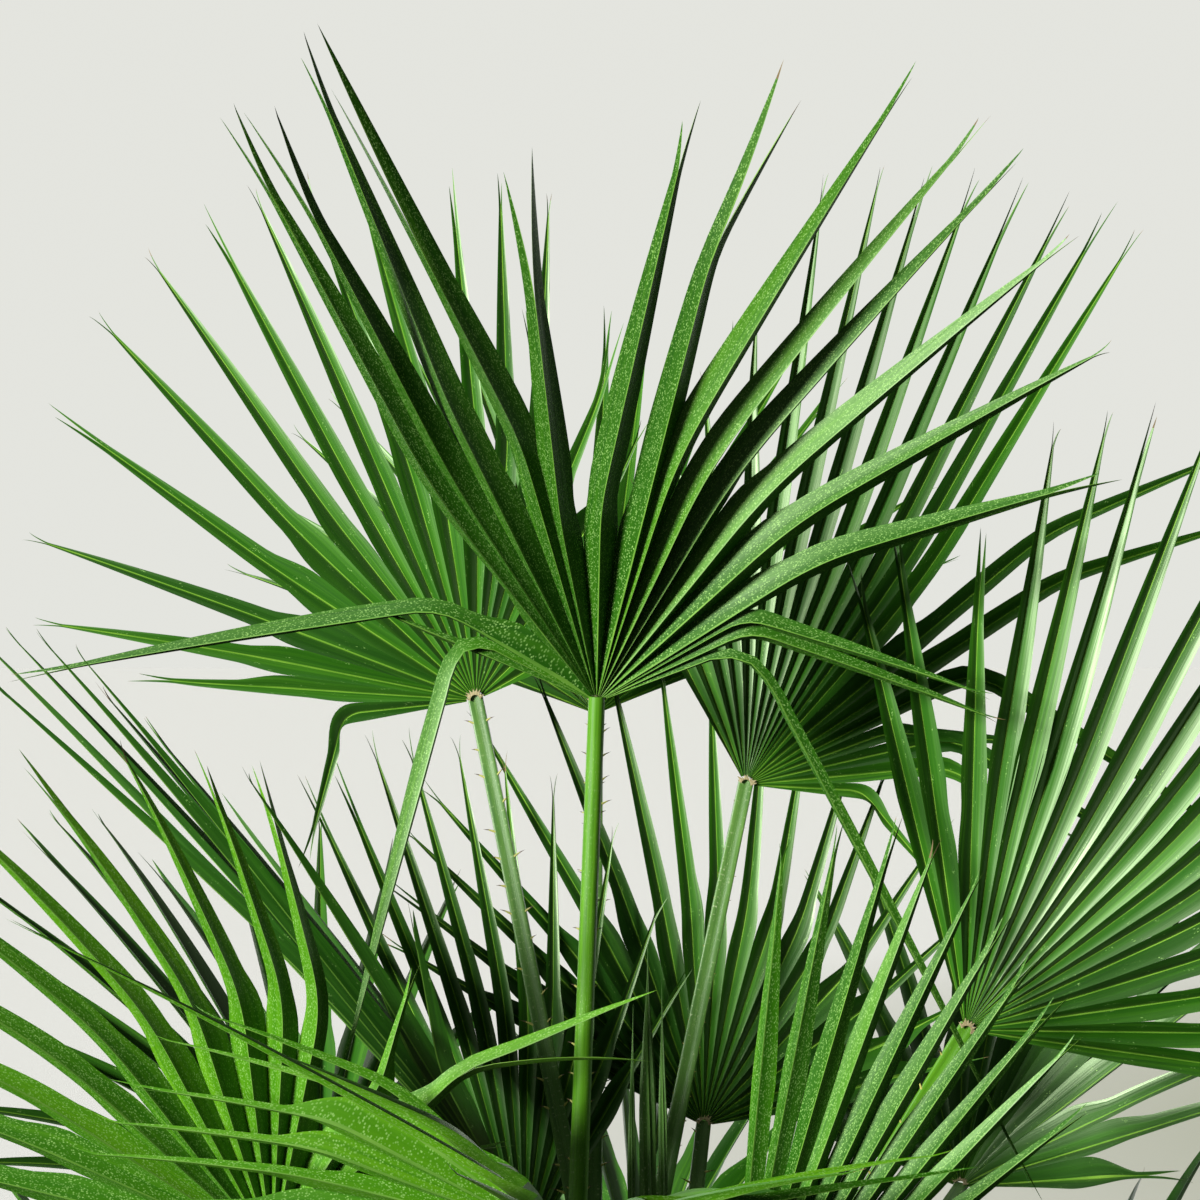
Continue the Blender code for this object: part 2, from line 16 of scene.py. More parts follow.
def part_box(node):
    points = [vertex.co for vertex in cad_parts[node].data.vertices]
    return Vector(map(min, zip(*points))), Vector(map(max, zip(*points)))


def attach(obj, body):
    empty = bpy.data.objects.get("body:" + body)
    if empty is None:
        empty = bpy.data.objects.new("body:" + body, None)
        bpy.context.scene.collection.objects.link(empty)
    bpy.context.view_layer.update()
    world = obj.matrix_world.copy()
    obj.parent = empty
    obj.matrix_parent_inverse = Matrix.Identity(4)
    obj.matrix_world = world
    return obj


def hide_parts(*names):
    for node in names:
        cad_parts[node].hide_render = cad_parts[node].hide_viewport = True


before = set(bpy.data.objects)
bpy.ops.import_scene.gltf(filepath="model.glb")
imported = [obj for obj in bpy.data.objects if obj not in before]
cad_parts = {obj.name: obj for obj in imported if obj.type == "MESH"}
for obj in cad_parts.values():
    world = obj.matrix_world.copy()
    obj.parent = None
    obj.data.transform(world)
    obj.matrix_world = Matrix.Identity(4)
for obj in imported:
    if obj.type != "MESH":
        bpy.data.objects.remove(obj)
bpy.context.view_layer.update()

# %% [markdown]
# ## The camera
# The plant is photographed from its own height, looking level into the crown, close enough that the pot lies
# below the picture. A camera is given its place rather than aimed by a helper, because its height is the only
# thing that matters: level at the hub of the front fans, it sees them neither from above nor from below.

# %% The camera
CAMERA_PLACE = (0.0, -1.8, 0.984)
CAMERA_LENS_MM = 86.4
SENSOR_WIDTH_MM = 36.0

camera_data = bpy.data.cameras.new("level_camera")
camera_data.sensor_width = SENSOR_WIDTH_MM
camera_data.lens = CAMERA_LENS_MM
camera = bpy.data.objects.new("level_camera", camera_data)
bpy.context.scene.collection.objects.link(camera)
camera.location = CAMERA_PLACE
camera.rotation_euler = (math.radians(90.0), 0.0, 0.0)
bpy.context.scene.camera = camera
print("camera height", CAMERA_PLACE[2], "lens", CAMERA_LENS_MM)

# %% [markdown]
# ## The light
# A pale room lights the plant softly from all round, and one bright window on the left does the modelling: it
# makes the waxy leaflets shine along one half and fall dark along the other. The window is a sun lamp with a
# wide disc, because a sun lights the far floor as much as the near one, so the floor and the wall stay one even
# tone. Three much wider and weaker suns, two behind the plant and one above, keep its back and sides easy to
# read and hardly reach the halves that the window leaves dark.

# %% The light
CROWN_MIDDLE = (0.0, 0.0, 0.85)
WINDOW_WHITE = (1.0, 0.99, 0.96)
ROOM_WHITE = (1.0, 1.0, 1.0)
SUNS = {
    # Place, strength, width of the disc in degrees, colour.
    "window_left": ((-1.92, -2.05, 1.50), 9.8, 12.0, WINDOW_WHITE),
    "soft_right": ((2.2, 2.1, 1.6), 1.9, 50.0, ROOM_WHITE),
    "soft_left": ((-1.7, 2.6, 1.7), 1.3, 50.0, ROOM_WHITE),
    "soft_top": ((0.2, 0.4, 3.2), 0.35, 50.0, ROOM_WHITE),
}

for sun_name, (place, strength, width, colour) in SUNS.items():
    sun = bpy.data.lights.new(sun_name, "SUN")
    sun.energy = strength
    sun.angle = math.radians(width)
    sun.color = colour
    holder = bpy.data.objects.new(sun_name, sun)
    holder.location = place
    holder.rotation_euler = (Vector(CROWN_MIDDLE) - Vector(place)).to_track_quat("-Z", "Y").to_euler()
    bpy.context.scene.collection.objects.link(holder)
    print(sun_name, "strength", strength, "width", width)

# %% [markdown]
# ## Helpers for materials
# Every finish is a principled shader with a few texture nodes in front of it. One helper adds a node, fills
# its sockets and links whatever is itself a socket, so a finish can be read from top to bottom like a recipe.


# %% Helpers for materials
def finish(name, roughness, sheen=None):
    """A new material, its tree and its shader."""
    material = bpy.data.materials.new(name)
    material.use_nodes = True
    shader = material.node_tree.nodes["Principled BSDF"]
    shader.inputs["Roughness"].default_value = roughness
    if sheen is not None:
        shader.inputs["Specular IOR Level"].default_value = sheen
    return material, material.node_tree, shader


def node(tree, kind, sockets, **settings):
    """One node with its settings, its socket values and its links."""
    made = tree.nodes.new(kind)
    for key, value in settings.items():
        setattr(made, key, value)
    for key, value in sockets.items():
        if isinstance(value, bpy.types.NodeSocket):
            tree.links.new(value, made.inputs[key])
        else:
            made.inputs[key].default_value = value
    return made


print("material helpers ready")


# %% Helpers for patterns
def stretched(tree, source, scale):
    """Coordinates stretched by a scale on each axis."""
    return node(tree, "ShaderNodeMapping", {"Vector": source, "Scale": scale}).outputs["Vector"]


def noise(tree, vector, scale, detail=3.0, rough=0.55):
    """A cloudy value; more detail and roughness make it finer."""
    return node(tree, "ShaderNodeTexNoise", {"Vector": vector, "Scale": scale, "Detail": detail,
                                             "Roughness": rough}).outputs["Fac"]


def spread(tree, value, low, high, to_low=0.0, to_high=1.0):
    """A value spread from one range to another and held inside it."""
    return node(tree, "ShaderNodeMapRange", {"Value": value, "From Min": low, "From Max": high,
                                             "To Min": to_low, "To Max": to_high}).outputs["Result"]


def blend(tree, share, first, second):
    """Two colours mixed by a share."""
    mixer = node(tree, "ShaderNodeMix", {}, data_type="RGBA")
    for socket, value in ((mixer.inputs[0], share), (mixer.inputs[6], first), (mixer.inputs[7], second)):
        if isinstance(value, bpy.types.NodeSocket):
            tree.links.new(value, socket)
        else:
            socket.default_value = value if isinstance(value, float) else (*value, 1.0)
    return mixer.outputs[2]


def product(tree, first, second):
    """Two values multiplied, so that both have to be there."""
    return node(tree, "ShaderNodeMath", {0: first, 1: second}, operation="MULTIPLY").outputs[0]


def relief(tree, height, strength, depth):
    """A height turned into small bumps, depth in metres."""
    return node(tree, "ShaderNodeBump", {"Height": height, "Strength": strength,
                                         "Distance": depth}).outputs["Normal"]


print("pattern helpers ready")

# %% [markdown]
# ## The room and its floor
# The room is a plain world colour, and it is brighter to the eye than the light it gives, as a white wall
# behind a plant is. A light path node tells the two apart: a look at the wall sees its full tone, while the
# light that it sends fades away from the window's side, which keeps the shaded halves of the leaflets dark. The
# floor is one wide plane with a painted shadow that darkens it a little towards a far corner, and it sends no
# light up into the crown.

# %% The room and its floor
WALL_PALE = (0.775, 0.780, 0.735, 1.0)
WINDOW_SIDE = (-0.84, -0.36, 0.41)
WINDOW_SIDE_RANGE = (0.05, 0.95)
ROOM_DARK_BRIGHT = (0.012, 0.50)
FLOOR_SIZE = 80.0
FLOOR_GRAIN = 30.0
FLOOR_PALE = ((0.632, 0.636, 0.610), (0.648, 0.653, 0.626))
# The next three sizes paint a shadow on the floor: its colour darkens towards a far corner, where a soft shadow
# would fall.
FLOOR_PAINTED_SHADOW = (0.36, 0.372, 0.297)
PAINTED_SHADOW_CORNER = (2.6, 3.4, 0.0)
PAINTED_SHADOW_BEGINS_AND_FULL = (3.4, 1.2)

room = bpy.data.worlds.new("pale_room")
room.use_nodes = True
bpy.context.scene.world = room
bpy.context.scene.view_settings.view_transform = "Standard"
room_tree = room.node_tree
towards = node(room_tree, "ShaderNodeTexCoord", {}).outputs["Generated"]
window_side = node(room_tree, "ShaderNodeVectorMath", {0: towards, 1: WINDOW_SIDE}, operation="DOT_PRODUCT")
room_light = spread(room_tree, window_side.outputs["Value"], *WINDOW_SIDE_RANGE, *ROOM_DARK_BRIGHT)
seen = node(room_tree, "ShaderNodeLightPath", {}).outputs["Is Camera Ray"]
room_strength = node(room_tree, "ShaderNodeMix", {0: seen, 2: room_light, 3: 1.0})
background = room_tree.nodes["Background"]
background.inputs["Color"].default_value = WALL_PALE
room_tree.links.new(room_strength.outputs[0], background.inputs["Strength"])

bpy.ops.object.select_all(action="DESELECT")
bpy.ops.mesh.primitive_plane_add(size=FLOOR_SIZE, location=(0.0, 0.0, 0.0))
floor = bpy.context.object
floor.name = "studio_floor"
floor_paint, floor_tree, floor_shader = finish("pale_floor", 0.9, 0.0)
floor_place = node(floor_tree, "ShaderNodeTexCoord", {}).outputs["Object"]
paint = blend(floor_tree, noise(floor_tree, floor_place, FLOOR_GRAIN), *FLOOR_PALE)
# Painted shadow: the floor's paint turns darker near the far corner.
from_corner = node(floor_tree, "ShaderNodeVectorMath", {0: floor_place, 1: PAINTED_SHADOW_CORNER}, operation="DISTANCE")
shaded = spread(floor_tree, from_corner.outputs["Value"], *PAINTED_SHADOW_BEGINS_AND_FULL)
floor_tree.links.new(blend(floor_tree, shaded, paint, FLOOR_PAINTED_SHADOW), floor_shader.inputs["Base Color"])
floor.visible_diffuse = False
floor.visible_glossy = False
floor.data.materials.append(floor_paint)
print("floor size", [round(d) for d in floor.dimensions])

# %% [markdown]
# ## The leaf finishes
# A fan palm's leaflet is waxy green above, with fine veins that run its whole length and a pale midrib in the
# fold. Below it is duller and lighter, dotted with pale scurf between the veins. Painting those lines as an
# image would blur close up, so they are noise stretched along the leaflet: the fan's own map measures in metres
# across and along, and the veins come out a millimetre apart on every fan. The wax shines pale green rather
# than white, so the shader tints its gloss. The tones of single leaflets are separate plain finishes, dealt out
# leaflet by leaflet.

# %% The leaf finishes
VEIN_SCALE = (820.0, 5.0, 1.0)
STREAK_SCALE = (170.0, 3.0, 1.0)
SCURF_DOT_SCALE = (2000.0, 620.0, 1.0)
SCURF_PATCH_SCALE = (420.0, 60.0, 1.0)
SCURF_COLOUR = (0.18, 0.33, 0.085)
SCURF_PATCH_FULL = 0.66
DOT_EDGE_AND_MIDDLE = (0.44, 0.20)
WAX_TINT = (0.80, 1.0, 0.64, 1.0)
ALONG_LEAFLET = (1500.0, 30.0, 1.0)
THROUGH_SUBSTANCE = (900.0, 900.0, 400.0)
SIDES = {
    "upper": {"scurf_from": 0.60, "roughness": 0.43, "vein_depth": 0.0004, "sheen": 0.68},
    "under": {"scurf_from": 0.18, "roughness": 0.48, "vein_depth": 0.0003, "sheen": 0.35},
}
TONES = {
    "deep": {"upper": ((0.005, 0.038, 0.001), (0.018, 0.088, 0.002)),
             "under": ((0.008, 0.054, 0.001), (0.028, 0.110, 0.002))},
    "mid": {"upper": ((0.008, 0.058, 0.001), (0.031, 0.128, 0.002)),
            "under": ((0.014, 0.080, 0.001), (0.049, 0.163, 0.002))},
    "fresh": {"upper": ((0.018, 0.089, 0.001), (0.055, 0.182, 0.003)),
              "under": ((0.026, 0.116, 0.001), (0.082, 0.230, 0.003))},
}

print("tones of green:", ", ".join(TONES))


# %% A leaflet's surface
def leaf_finish(name, shade, light, scurf_from, roughness, vein_depth, sheen):
    """A leaflet's surface: veins between two greens, patches of gloss and rows of scurf dots."""
    material, tree, shader = finish(name, roughness, sheen)
    shader.inputs["Specular Tint"].default_value = WAX_TINT
    along = node(tree, "ShaderNodeUVMap", {}, uv_map="leaf_map").outputs["UV"]
    veins = noise(tree, stretched(tree, along, VEIN_SCALE), 1.0, 2.0, 0.6)
    streaks = noise(tree, stretched(tree, along, STREAK_SCALE), 1.0, 2.0, 0.5)
    mixed = product(tree, spread(tree, veins, 0.30, 0.70), spread(tree, streaks, 0.25, 0.70))
    green = blend(tree, mixed, shade, light)
    dots = node(tree, "ShaderNodeTexVoronoi", {"Vector": stretched(tree, along, SCURF_DOT_SCALE), "Scale": 1.0,
                                               "Randomness": 0.85}).outputs["Distance"]
    patches = noise(tree, stretched(tree, along, SCURF_PATCH_SCALE), 1.0, 3.0, 0.7)
    scurf = product(tree, spread(tree, dots, *DOT_EDGE_AND_MIDDLE),
                    spread(tree, patches, scurf_from, SCURF_PATCH_FULL))
    tree.links.new(blend(tree, scurf, green, SCURF_COLOUR), shader.inputs["Base Color"])
    gloss = spread(tree, streaks, 0.3, 0.7, roughness - 0.06, roughness + 0.08)
    tree.links.new(gloss, shader.inputs["Roughness"])
    tree.links.new(relief(tree, veins, 0.5, vein_depth), shader.inputs["Normal"])
    return material


print("leaf surface ready")


# %% Fine streaks
def streaked_finish(name, shade, light, roughness, on_leaflet=True):
    """Two colours in fine streaks, along a leaflet or, for a spine or collar, through its substance."""
    material, tree, shader = finish(name, roughness, 0.4)
    if on_leaflet:
        place, stretch = node(tree, "ShaderNodeUVMap", {}, uv_map="leaf_map").outputs["UV"], ALONG_LEAFLET
    else:
        place, stretch = node(tree, "ShaderNodeTexCoord", {}).outputs["Object"], THROUGH_SUBSTANCE
    streaks = noise(tree, stretched(tree, place, stretch), 1.0)
    tree.links.new(blend(tree, spread(tree, streaks, 0.3, 0.7), shade, light), shader.inputs["Base Color"])
    tree.links.new(relief(tree, streaks, 0.3, 0.0002), shader.inputs["Normal"])
    return material


print("streaked surface ready")

# %% Every leaf finish
leaf_finishes = {}
for tone, greens in TONES.items():
    for side, (shade, light) in greens.items():
        leaf_finishes[side, tone] = leaf_finish("leaf_" + side + "_" + tone, shade, light, **SIDES[side])
rib_pale = streaked_finish("midrib_pale", (0.06, 0.17, 0.01), (0.15, 0.29, 0.03), 0.45)
rib_low = streaked_finish("midrib_under", (0.05, 0.145, 0.012), (0.10, 0.22, 0.025), 0.50)
tip_dry = streaked_finish("tip_dry", (0.055, 0.040, 0.012), (0.17, 0.12, 0.045), 0.75)
print("leaf finishes:", len(leaf_finishes) + 3)

# %% [markdown]
# ## The sizes of the plant
# The fans repeat the imported model's own rule: each has a hub, a bearing for every leaflet, a reach at its left,
# middle and right, and an outward tilt. The rule gives the line of each rib; the finer leaflet is then built
# along it. Writing the rule again, instead of copying points, keeps every fan editable by its named sizes. What
# only the finer leaflets need stands beside them: two tones of green, the leaflets that always take the second
# tone as painted shade (shady), the finish of each side (faces), a half width, leaflets slimmer or wider than
# that (slim), and the length and spread of the two points at an end (forks).

# %% Named sizes of the plant
STEM_FOOT = {"main_stem": (0.010, 0.018), "left_stem": (-0.095, -0.012), "right_stem": (0.106, 0.064)}
HUB_RADIUS = 0.0060
SPLIT = 0.120
PLACE_SHARE = 0.45
WIDEST_AT = 0.45
SPLIT_WIDTH_SHARE = 0.82
DEEP_FOLD = 1.00
STEPS = 24
LEAST_FREE = 0.030
BEND_SPAN = 0.14
EASE_SPAN = 0.35
CATCH_UP = 1.42
REACH_POWER = 1.3
HUB_EVENNESS = 0.5
UNEVENNESS = 0.22
UNEVEN_TURN = 2.4
LEAST_SPREAD = 1.0
DODGES = (0, 4, -4, 8, -8, 13, -13, 18)
TRIMS = (1.0, 0.8, 0.62, 0.48, 0.2)

print("leaflets split at", SPLIT, "m from the hub")

# %% How a fan is written down
USUAL_FAN = {"centre": 0, "turn": 0, "droop": 0.05, "upper": 1, "bends": {}, "rise": 0.05, "width": 0.0075,
             "tones": ("mid", "deep"), "shady": (), "faces": ("upper", "under"), "slim": {}, "forks": {}}


def fan(stem, foot, hub, bearings, reach, tilt, **own):
    """Named sizes of one frond: bearings from straight up, tilt outwards, reach at left, middle and right."""
    return {**USUAL_FAN, "stem": stem, "foot": foot, "hub": hub, "bearings": bearings, "reach": reach,
            "tilt": tilt, **own}


def even(first, last, count):
    """Bearings spread over a fan with the slight unevenness of a grown one."""
    step = (last - first) / (count - 1)
    return tuple(first + step * i + UNEVENNESS * step * math.sin(UNEVEN_TURN * i) for i in range(count))


print("a usual fan:", USUAL_FAN)

# %% The fans
FANS = {
    "fan_01": fan("main_stem", (-0.020, -0.015), (-0.002, -0.050, 0.922),
                  (-67, -66, -65, -30, -28, -22.5, -10, -8, 9, 27, 27, 34, 38, 46, 56, 68, 66, 68, 69),
                  (0.330, 0.490, 0.343),
                  ((-90, 16), (-69, 20), (-35, 31), (-25, 33), (-12, 34), (9, 34), (19, 33),
                   (27, 30), (34, 24), (56, 24), (90, 16)), droop=0.06,
                  bends={0: (0.80, -66, 22, 0.155), 1: (0.24, -165, -8, 0.36), 2: (0.30, -98.5, -10, 0.373),
                         5: (0.50, -21, 26, 0.45), 6: (0.40, -27, 38, 0.47), 7: (0.35, -6, 34, 0.375),
                         8: (0.35, 13, 34, 0.40), 9: (0.72, 26, 30, 0.425), 16: (0.40, 107, 5, 0.26),
                         17: (0.38, 109, 5, 0.27), 18: (0.20, 152, 0, 0.47)}, width=0.0094,
                  forks={3: (0.06, 0.006), 4: (0.08, 0.010), 5: (0.05, 0.004), 6: (0.17, 0.007),
                         7: (0.10, 0.011), 9: (0.12, 0.012)},
                  slim={0: 0.6, 1: 0.62, 2: 0.66, 16: 0.75, 17: 0.7, 18: 0.42},
                  # These leaflets take the deep tone as painted shade, on the fan's left side and at its right
                  # end.
                  shady=(0, 2, 3, 4, 5, 16, 17, 18)),
    "fan_02": fan("main_stem", (0.015, 0.032), (-0.082, 0.100, 0.918),
                  (-96, -86, -80, -70, -55, -44, -36, -29, -24, -19, -14, -4, 1, 6, 12, 24, 40, 60),
                  (0.26, 0.385, 0.25), (-8, -2), centre=-28, droop=0.03, upper=-1,
                  bends={0: (0.45, -165, 0, 0.19), 1: (0.80, -84, -2, 0.23), 14: (0.80, 14, -6, 0.27),
                         15: (0.80, 24, -4, 0.22), 16: (0.80, 40, -3, 0.19), 17: (0.80, 60, -2, 0.17)},
                  width=0.0074),
    "fan_03": fan("main_stem", (0.008, 0.056), (0.097, 0.120, 0.861),
                  (-27, -20, -10, -4, 4, 8, 13, 17, 21, 25, 29, 32, 35, 46, 53, 59, 66, 74, 83, 93),
                  (0.30, 0.480, 0.36), (-12, 0), centre=33, droop=0.03, upper=-1,
                  bends={0: (0.80, -24, -2, 0.20), 1: (0.80, -19, -4, 0.22), 2: (0.80, -11, -6, 0.25),
                         3: (0.80, -4, -8, 0.28), 4: (0.80, 4, -9, 0.33), 13: (0.60, 66, -8, 0.44),
                         14: (0.60, 72, -18, 0.42), 15: (0.42, 122, 6, 0.40), 16: (0.44, 94, -5, 0.37),
                         17: (0.45, 120, -16, 0.31), 18: (0.55, 118, -24, 0.24),
                         19: (0.45, 140, -8, 0.17)}, width=0.0072),
    "fan_04": fan("main_stem", (0.045, 0.052), (0.070, 0.150, 0.628),
                  (-60, -53, -46, -40, -30, -21, -12, -6, 0, 7, 13, 19, 25, 37, 50, 64, 76),
                  (0.26, 0.34, 0.20), (-5, -5), centre=-18, droop=0.0, upper=-1,
                  tones=("deep", "mid"), width=0.0064),
    "fan_05": fan("main_stem", (0.060, 0.006), (0.232, 0.030, 0.711),
                  (-14, -9, 3, 8, 12, 16, 21, 28, 33, 38, 43, 48, 53, 59, 68, 79, 90, 98),
                  (0.31, 0.46, 0.34), (5, 5), centre=36, droop=0.0, upper=-1, rise=0.03,
                  bends={2: (0.80, 3, 5, 0.32)}, width=0.0092),
    "fan_07": fan("left_stem", (-0.109, -0.030), (-0.190, -0.130, 0.607),
                  (-96, -86, -77, -68, -60, -52, -44, -35, -26, -17, -10, -5, 25, 40, 58, 75),
                  (0.36, 0.36, 0.13), (14, 8), centre=-50, droop=0.22,
                  bends={12: (0.60, 16, 10, 0.20), 13: (0.58, 76, 5, 0.27), 14: (0.70, 76, 10, 0.16),
                         15: (0.70, 92, 10, 0.16)}, tones=("fresh", "mid"), width=0.0073,
                  forks={13: (0.12, 0.028)}),
    "fan_08": fan("main_stem", (-0.010, -0.034), (-0.023, -0.170, 0.622),
                  (-92, -86, -80, -77, -73, -66, -59, -54, -44, -32, -18, 12, 38, 56, 66, 73, 78),
                  (0.30, 0.26, 0.24),
                  ((-92, 8), (-54, 15), (-46, 22), (-40, 45), (-32, 62), (-18, 73), (12, 80), (38, 79),
                   (56, 74), (66, 62), (73, 48), (78, 34)), centre=-60, droop=0.10,
                  bends={8: (0.35, -59, 10, 0.44)}, tones=("fresh", "mid"), width=0.0066,
                  slim={2: 0.7, 3: 0.65, 4: 0.65, 5: 0.7, 7: 1.3, 8: 0.6}),
    "fan_09": fan("main_stem", (0.032, -0.026), (0.076, -0.120, 0.520),
                  (5, 10, 15, 19, 24, 28, 33, 38, 42, 50),
                  (0.33, 0.36, 0.27), (10, 6), centre=15, droop=0.04, tones=("deep", "mid"), width=0.0088),
    # Fan_06 takes the deep tone on every leaflet: painted shade for a fan that stands in shade, lit from behind.
    "fan_06": fan("left_stem", (-0.078, 0.008), (-0.060, 0.020, 0.610),
                  even(-36, 50, 11), (0.34, 0.50, 0.42), (43, 33), turn=-76, droop=0.04,
                  tones=("deep", "deep"), faces=("upper", "upper")),
    "fan_10": fan("main_stem", (-0.026, 0.036), (-0.050, 0.100, 0.555),
                  (-26, -22, -18, -14, -9, -4, 2, 11, 21, 31),
                  (0.35, 0.36, 0.22), (-8, -8), centre=-18, droop=0.0, upper=-1,
                  tones=("deep", "mid"), width=0.0058),
    "fan_11": fan("left_stem", (-0.118, 0.000), (-0.290, 0.080, 0.460),
                  even(-80, 80, 15), (0.30, 0.37, 0.30), (66, 30), turn=-78, droop=0.35),
    "fan_12": fan("right_stem", (0.128, 0.054), (0.310, 0.040, 0.470),
                  even(-80, 80, 15), (0.30, 0.38, 0.30), (64, 30), turn=88, droop=0.35),
    "fan_13": fan("left_stem", (-0.084, -0.034), (-0.120, -0.260, 0.480),
                  even(-80, 62, 14), (0.28, 0.36, 0.28), (60, 30), turn=-30, droop=0.40,
                  bends={12: (0.45, 52, 12, 0.37)}),
    "fan_14": fan("main_stem", (0.050, -0.014), (0.150, -0.270, 0.430),
                  even(-66, 80, 14), (0.28, 0.36, 0.28), (70, 32), turn=24, droop=0.40,
                  bends={5: (0.50, 20, 20, 0.37)}),
    "fan_15": fan("main_stem", (-0.005, 0.068), (-0.003, 0.320, 0.900),
                  even(-66, 66, 15), (0.30, 0.38, 0.30), (32, 18), turn=180, droop=0.10),
    "fan_16": fan("main_stem", (-0.035, 0.052), (-0.200, 0.260, 0.560),
                  even(-80, 80, 16), (0.30, 0.38, 0.30), (46, 22), turn=-140, droop=0.20),
    "fan_17": fan("right_stem", (0.110, 0.086), (0.260, 0.280, 0.560),
                  even(-80, 80, 16), (0.30, 0.38, 0.30), (44, 22), turn=140, droop=0.20),
    "fan_18": fan("right_stem", (0.087, 0.074), (0.030, 0.330, 0.460),
                  even(-78, 78, 15), (0.28, 0.36, 0.28), (66, 32), turn=176, droop=0.40),
}
UP = np.array((0.0, 0.0, 1.0))
print("fans:", len(FANS), "leaflets:", sum(len(spec["bearings"]) for spec in FANS.values()))

# %% [markdown]
# ## The line of a rib
# A leaflet leaves the hub straight, along its place in the pleated part, and past the split eases towards its
# own bearing. Some bend over, as heavy or creased leaflets do. The line is walked in equal steps, turning a
# little each time, because a walked line keeps its real length however it bends.


# %% Directions
def unit(vector):
    return vector / np.linalg.norm(vector)


def smooth(share):
    """A share that starts and stops softly."""
    share = np.clip(share, 0.0, 1.0)
    return share * share * (3.0 - 2.0 * share)


def ray(bearing, tilt, turn):
    """Direction of a leaflet seen at a bearing from straight up on a fan that leans outwards by tilt."""
    b = math.radians(bearing)
    t = math.radians(tilt)
    angle = math.atan2(math.sin(b) * math.cos(t), math.cos(b))
    x = math.sin(angle)
    y = -math.cos(angle) * math.sin(t)
    z = math.cos(angle) * math.cos(t)
    c = math.cos(math.radians(turn))
    s = math.sin(math.radians(turn))
    return np.array((c * x - s * y, s * x + c * y, z))


print("straight up is", ray(0, 0, 0))


# %% Sizes at a bearing
def share_of(spec, bearing):
    """Where a bearing lies between the fan's middle (0) and its ends (-1 and 1)."""
    offset = bearing - spec["centre"]
    end = spec["bearings"][0] if offset < 0 else spec["bearings"][-1]
    return offset / max(LEAST_SPREAD, abs(end - spec["centre"]))


def tilt_at(spec, bearing):
    """How far a fan leans outwards at a bearing, from its knots or from its middle and ends."""
    if isinstance(spec["tilt"][0], tuple):
        return float(np.interp(bearing, *zip(*spec["tilt"])))
    middle, ends = spec["tilt"]
    return middle + (ends - middle) * min(1.0, abs(share_of(spec, bearing)))


def reach_at(spec, bearing):
    """The length of a leaflet at a bearing."""
    left, middle, right = spec["reach"]
    share = share_of(spec, bearing)
    return middle + ((left if share < 0 else right) - middle) * min(1.0, abs(share)) ** REACH_POWER


print("reach of fan_01 straight up:", round(reach_at(FANS["fan_01"], 0), 3), "m")


# %% The hub's own bearings
def base_bearings(spec):
    """Bearings at the hub, evener than the bearings of the free ends."""
    ends = spec["bearings"]
    step = (ends[-1] - ends[0]) / (len(ends) - 1)
    return [HUB_EVENNESS * (ends[0] + step * i) + (1.0 - HUB_EVENNESS) * b for i, b in enumerate(ends)]


def base_rays(spec):
    return [ray(b, tilt_at(spec, b), spec["turn"]) for b in base_bearings(spec)]


def upper_normal(spec, rays, i):
    """The side of the fan that faces up and in, square to rib i."""
    normal = unit(np.cross(rays[min(len(rays) - 1, i + 1)] - rays[max(0, i - 1)], rays[i]))
    tilt = math.radians(tilt_at(spec, spec["centre"]))
    c = math.cos(math.radians(spec["turn"]))
    s = math.sin(math.radians(spec["turn"]))
    inward = np.array((-s * math.cos(tilt), c * math.cos(tilt), math.sin(tilt))) * spec["upper"]
    return normal if normal @ inward > 0 else -normal


print("bearings at the hub of fan_09:", [round(b) for b in base_bearings(FANS["fan_09"])])


# %% The line of a rib
def rib_path(spec, rays, i, dodge, trim):
    """Points along rib i: straight out to the split, then easing or bending to its own bearing."""
    own = spec["bearings"][i]
    based = base_bearings(spec)[i]
    length = reach_at(spec, own)
    bend = spec["bends"].get(i)
    if bend:
        bend_at, to_bearing, to_tilt, length = bend
        end = ray(to_bearing, to_tilt + dodge, spec["turn"])
    else:
        end = ray(based + (own - based) * CATCH_UP, tilt_at(spec, own) + dodge, spec["turn"])
    length = max(length * trim, SPLIT + LEAST_FREE)
    points = [np.array(spec["hub"])]
    for k in range(STEPS):
        along = (k + 0.5) / STEPS
        free = (along * length - SPLIT) / (length - SPLIT)
        mix = smooth((along - bend_at) / BEND_SPAN + 0.5) if bend else smooth(free / EASE_SPAN)
        direction = unit(rays[i] * (1.0 - mix) + end * mix)
        if free > 0:
            direction = unit(direction - UP * spec["droop"] * free * free)
        points.append(points[-1] + direction * length / STEPS)
    return np.array(points), length


print("a rib is walked in", STEPS, "steps")

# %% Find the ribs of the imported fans
ON_A_CORNER = 0.0001


def settled_rib(spec, rays, i, corners):
    """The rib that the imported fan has: the one whose tip lies on a corner of its solid."""
    nearest = None
    for trim in TRIMS:
        for dodge in DODGES:
            points, length = rib_path(spec, rays, i, dodge, trim)
            gap = np.linalg.norm(corners - points[-1], axis=1).min()
            if nearest is None or gap < nearest[0]:
                nearest = (gap, points, length)
            if gap < ON_A_CORNER:
                return nearest
    return nearest


ribs = {}
worst = 0.0
for fan_name, spec in FANS.items():
    rays = base_rays(spec)
    corners = np.array([v.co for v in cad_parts[fan_name].data.vertices])
    found = [settled_rib(spec, rays, i, corners) for i in range(len(rays))]
    ribs[fan_name] = [(points, length) for gap, points, length in found]
    worst = max(worst, max(gap for gap, points, length in found))
print("ribs:", sum(len(r) for r in ribs.values()), "furthest tip from its solid in mm:", round(1000 * worst, 3))

# %% [markdown]
# ## One leaflet
# A leaflet is a thin blade folded like a shallow V, with its midrib in the fold. Near the hub its two edges
# are joined to the neighbours' along the pleats' ridges; past the split they part. Its end is cut into two
# short points. It is made from arrays: rings of sixteen points, nine above and seven below, are strung along
# the rib, which is quick for hundreds of leaflets and keeps each a closed blade of even quads.

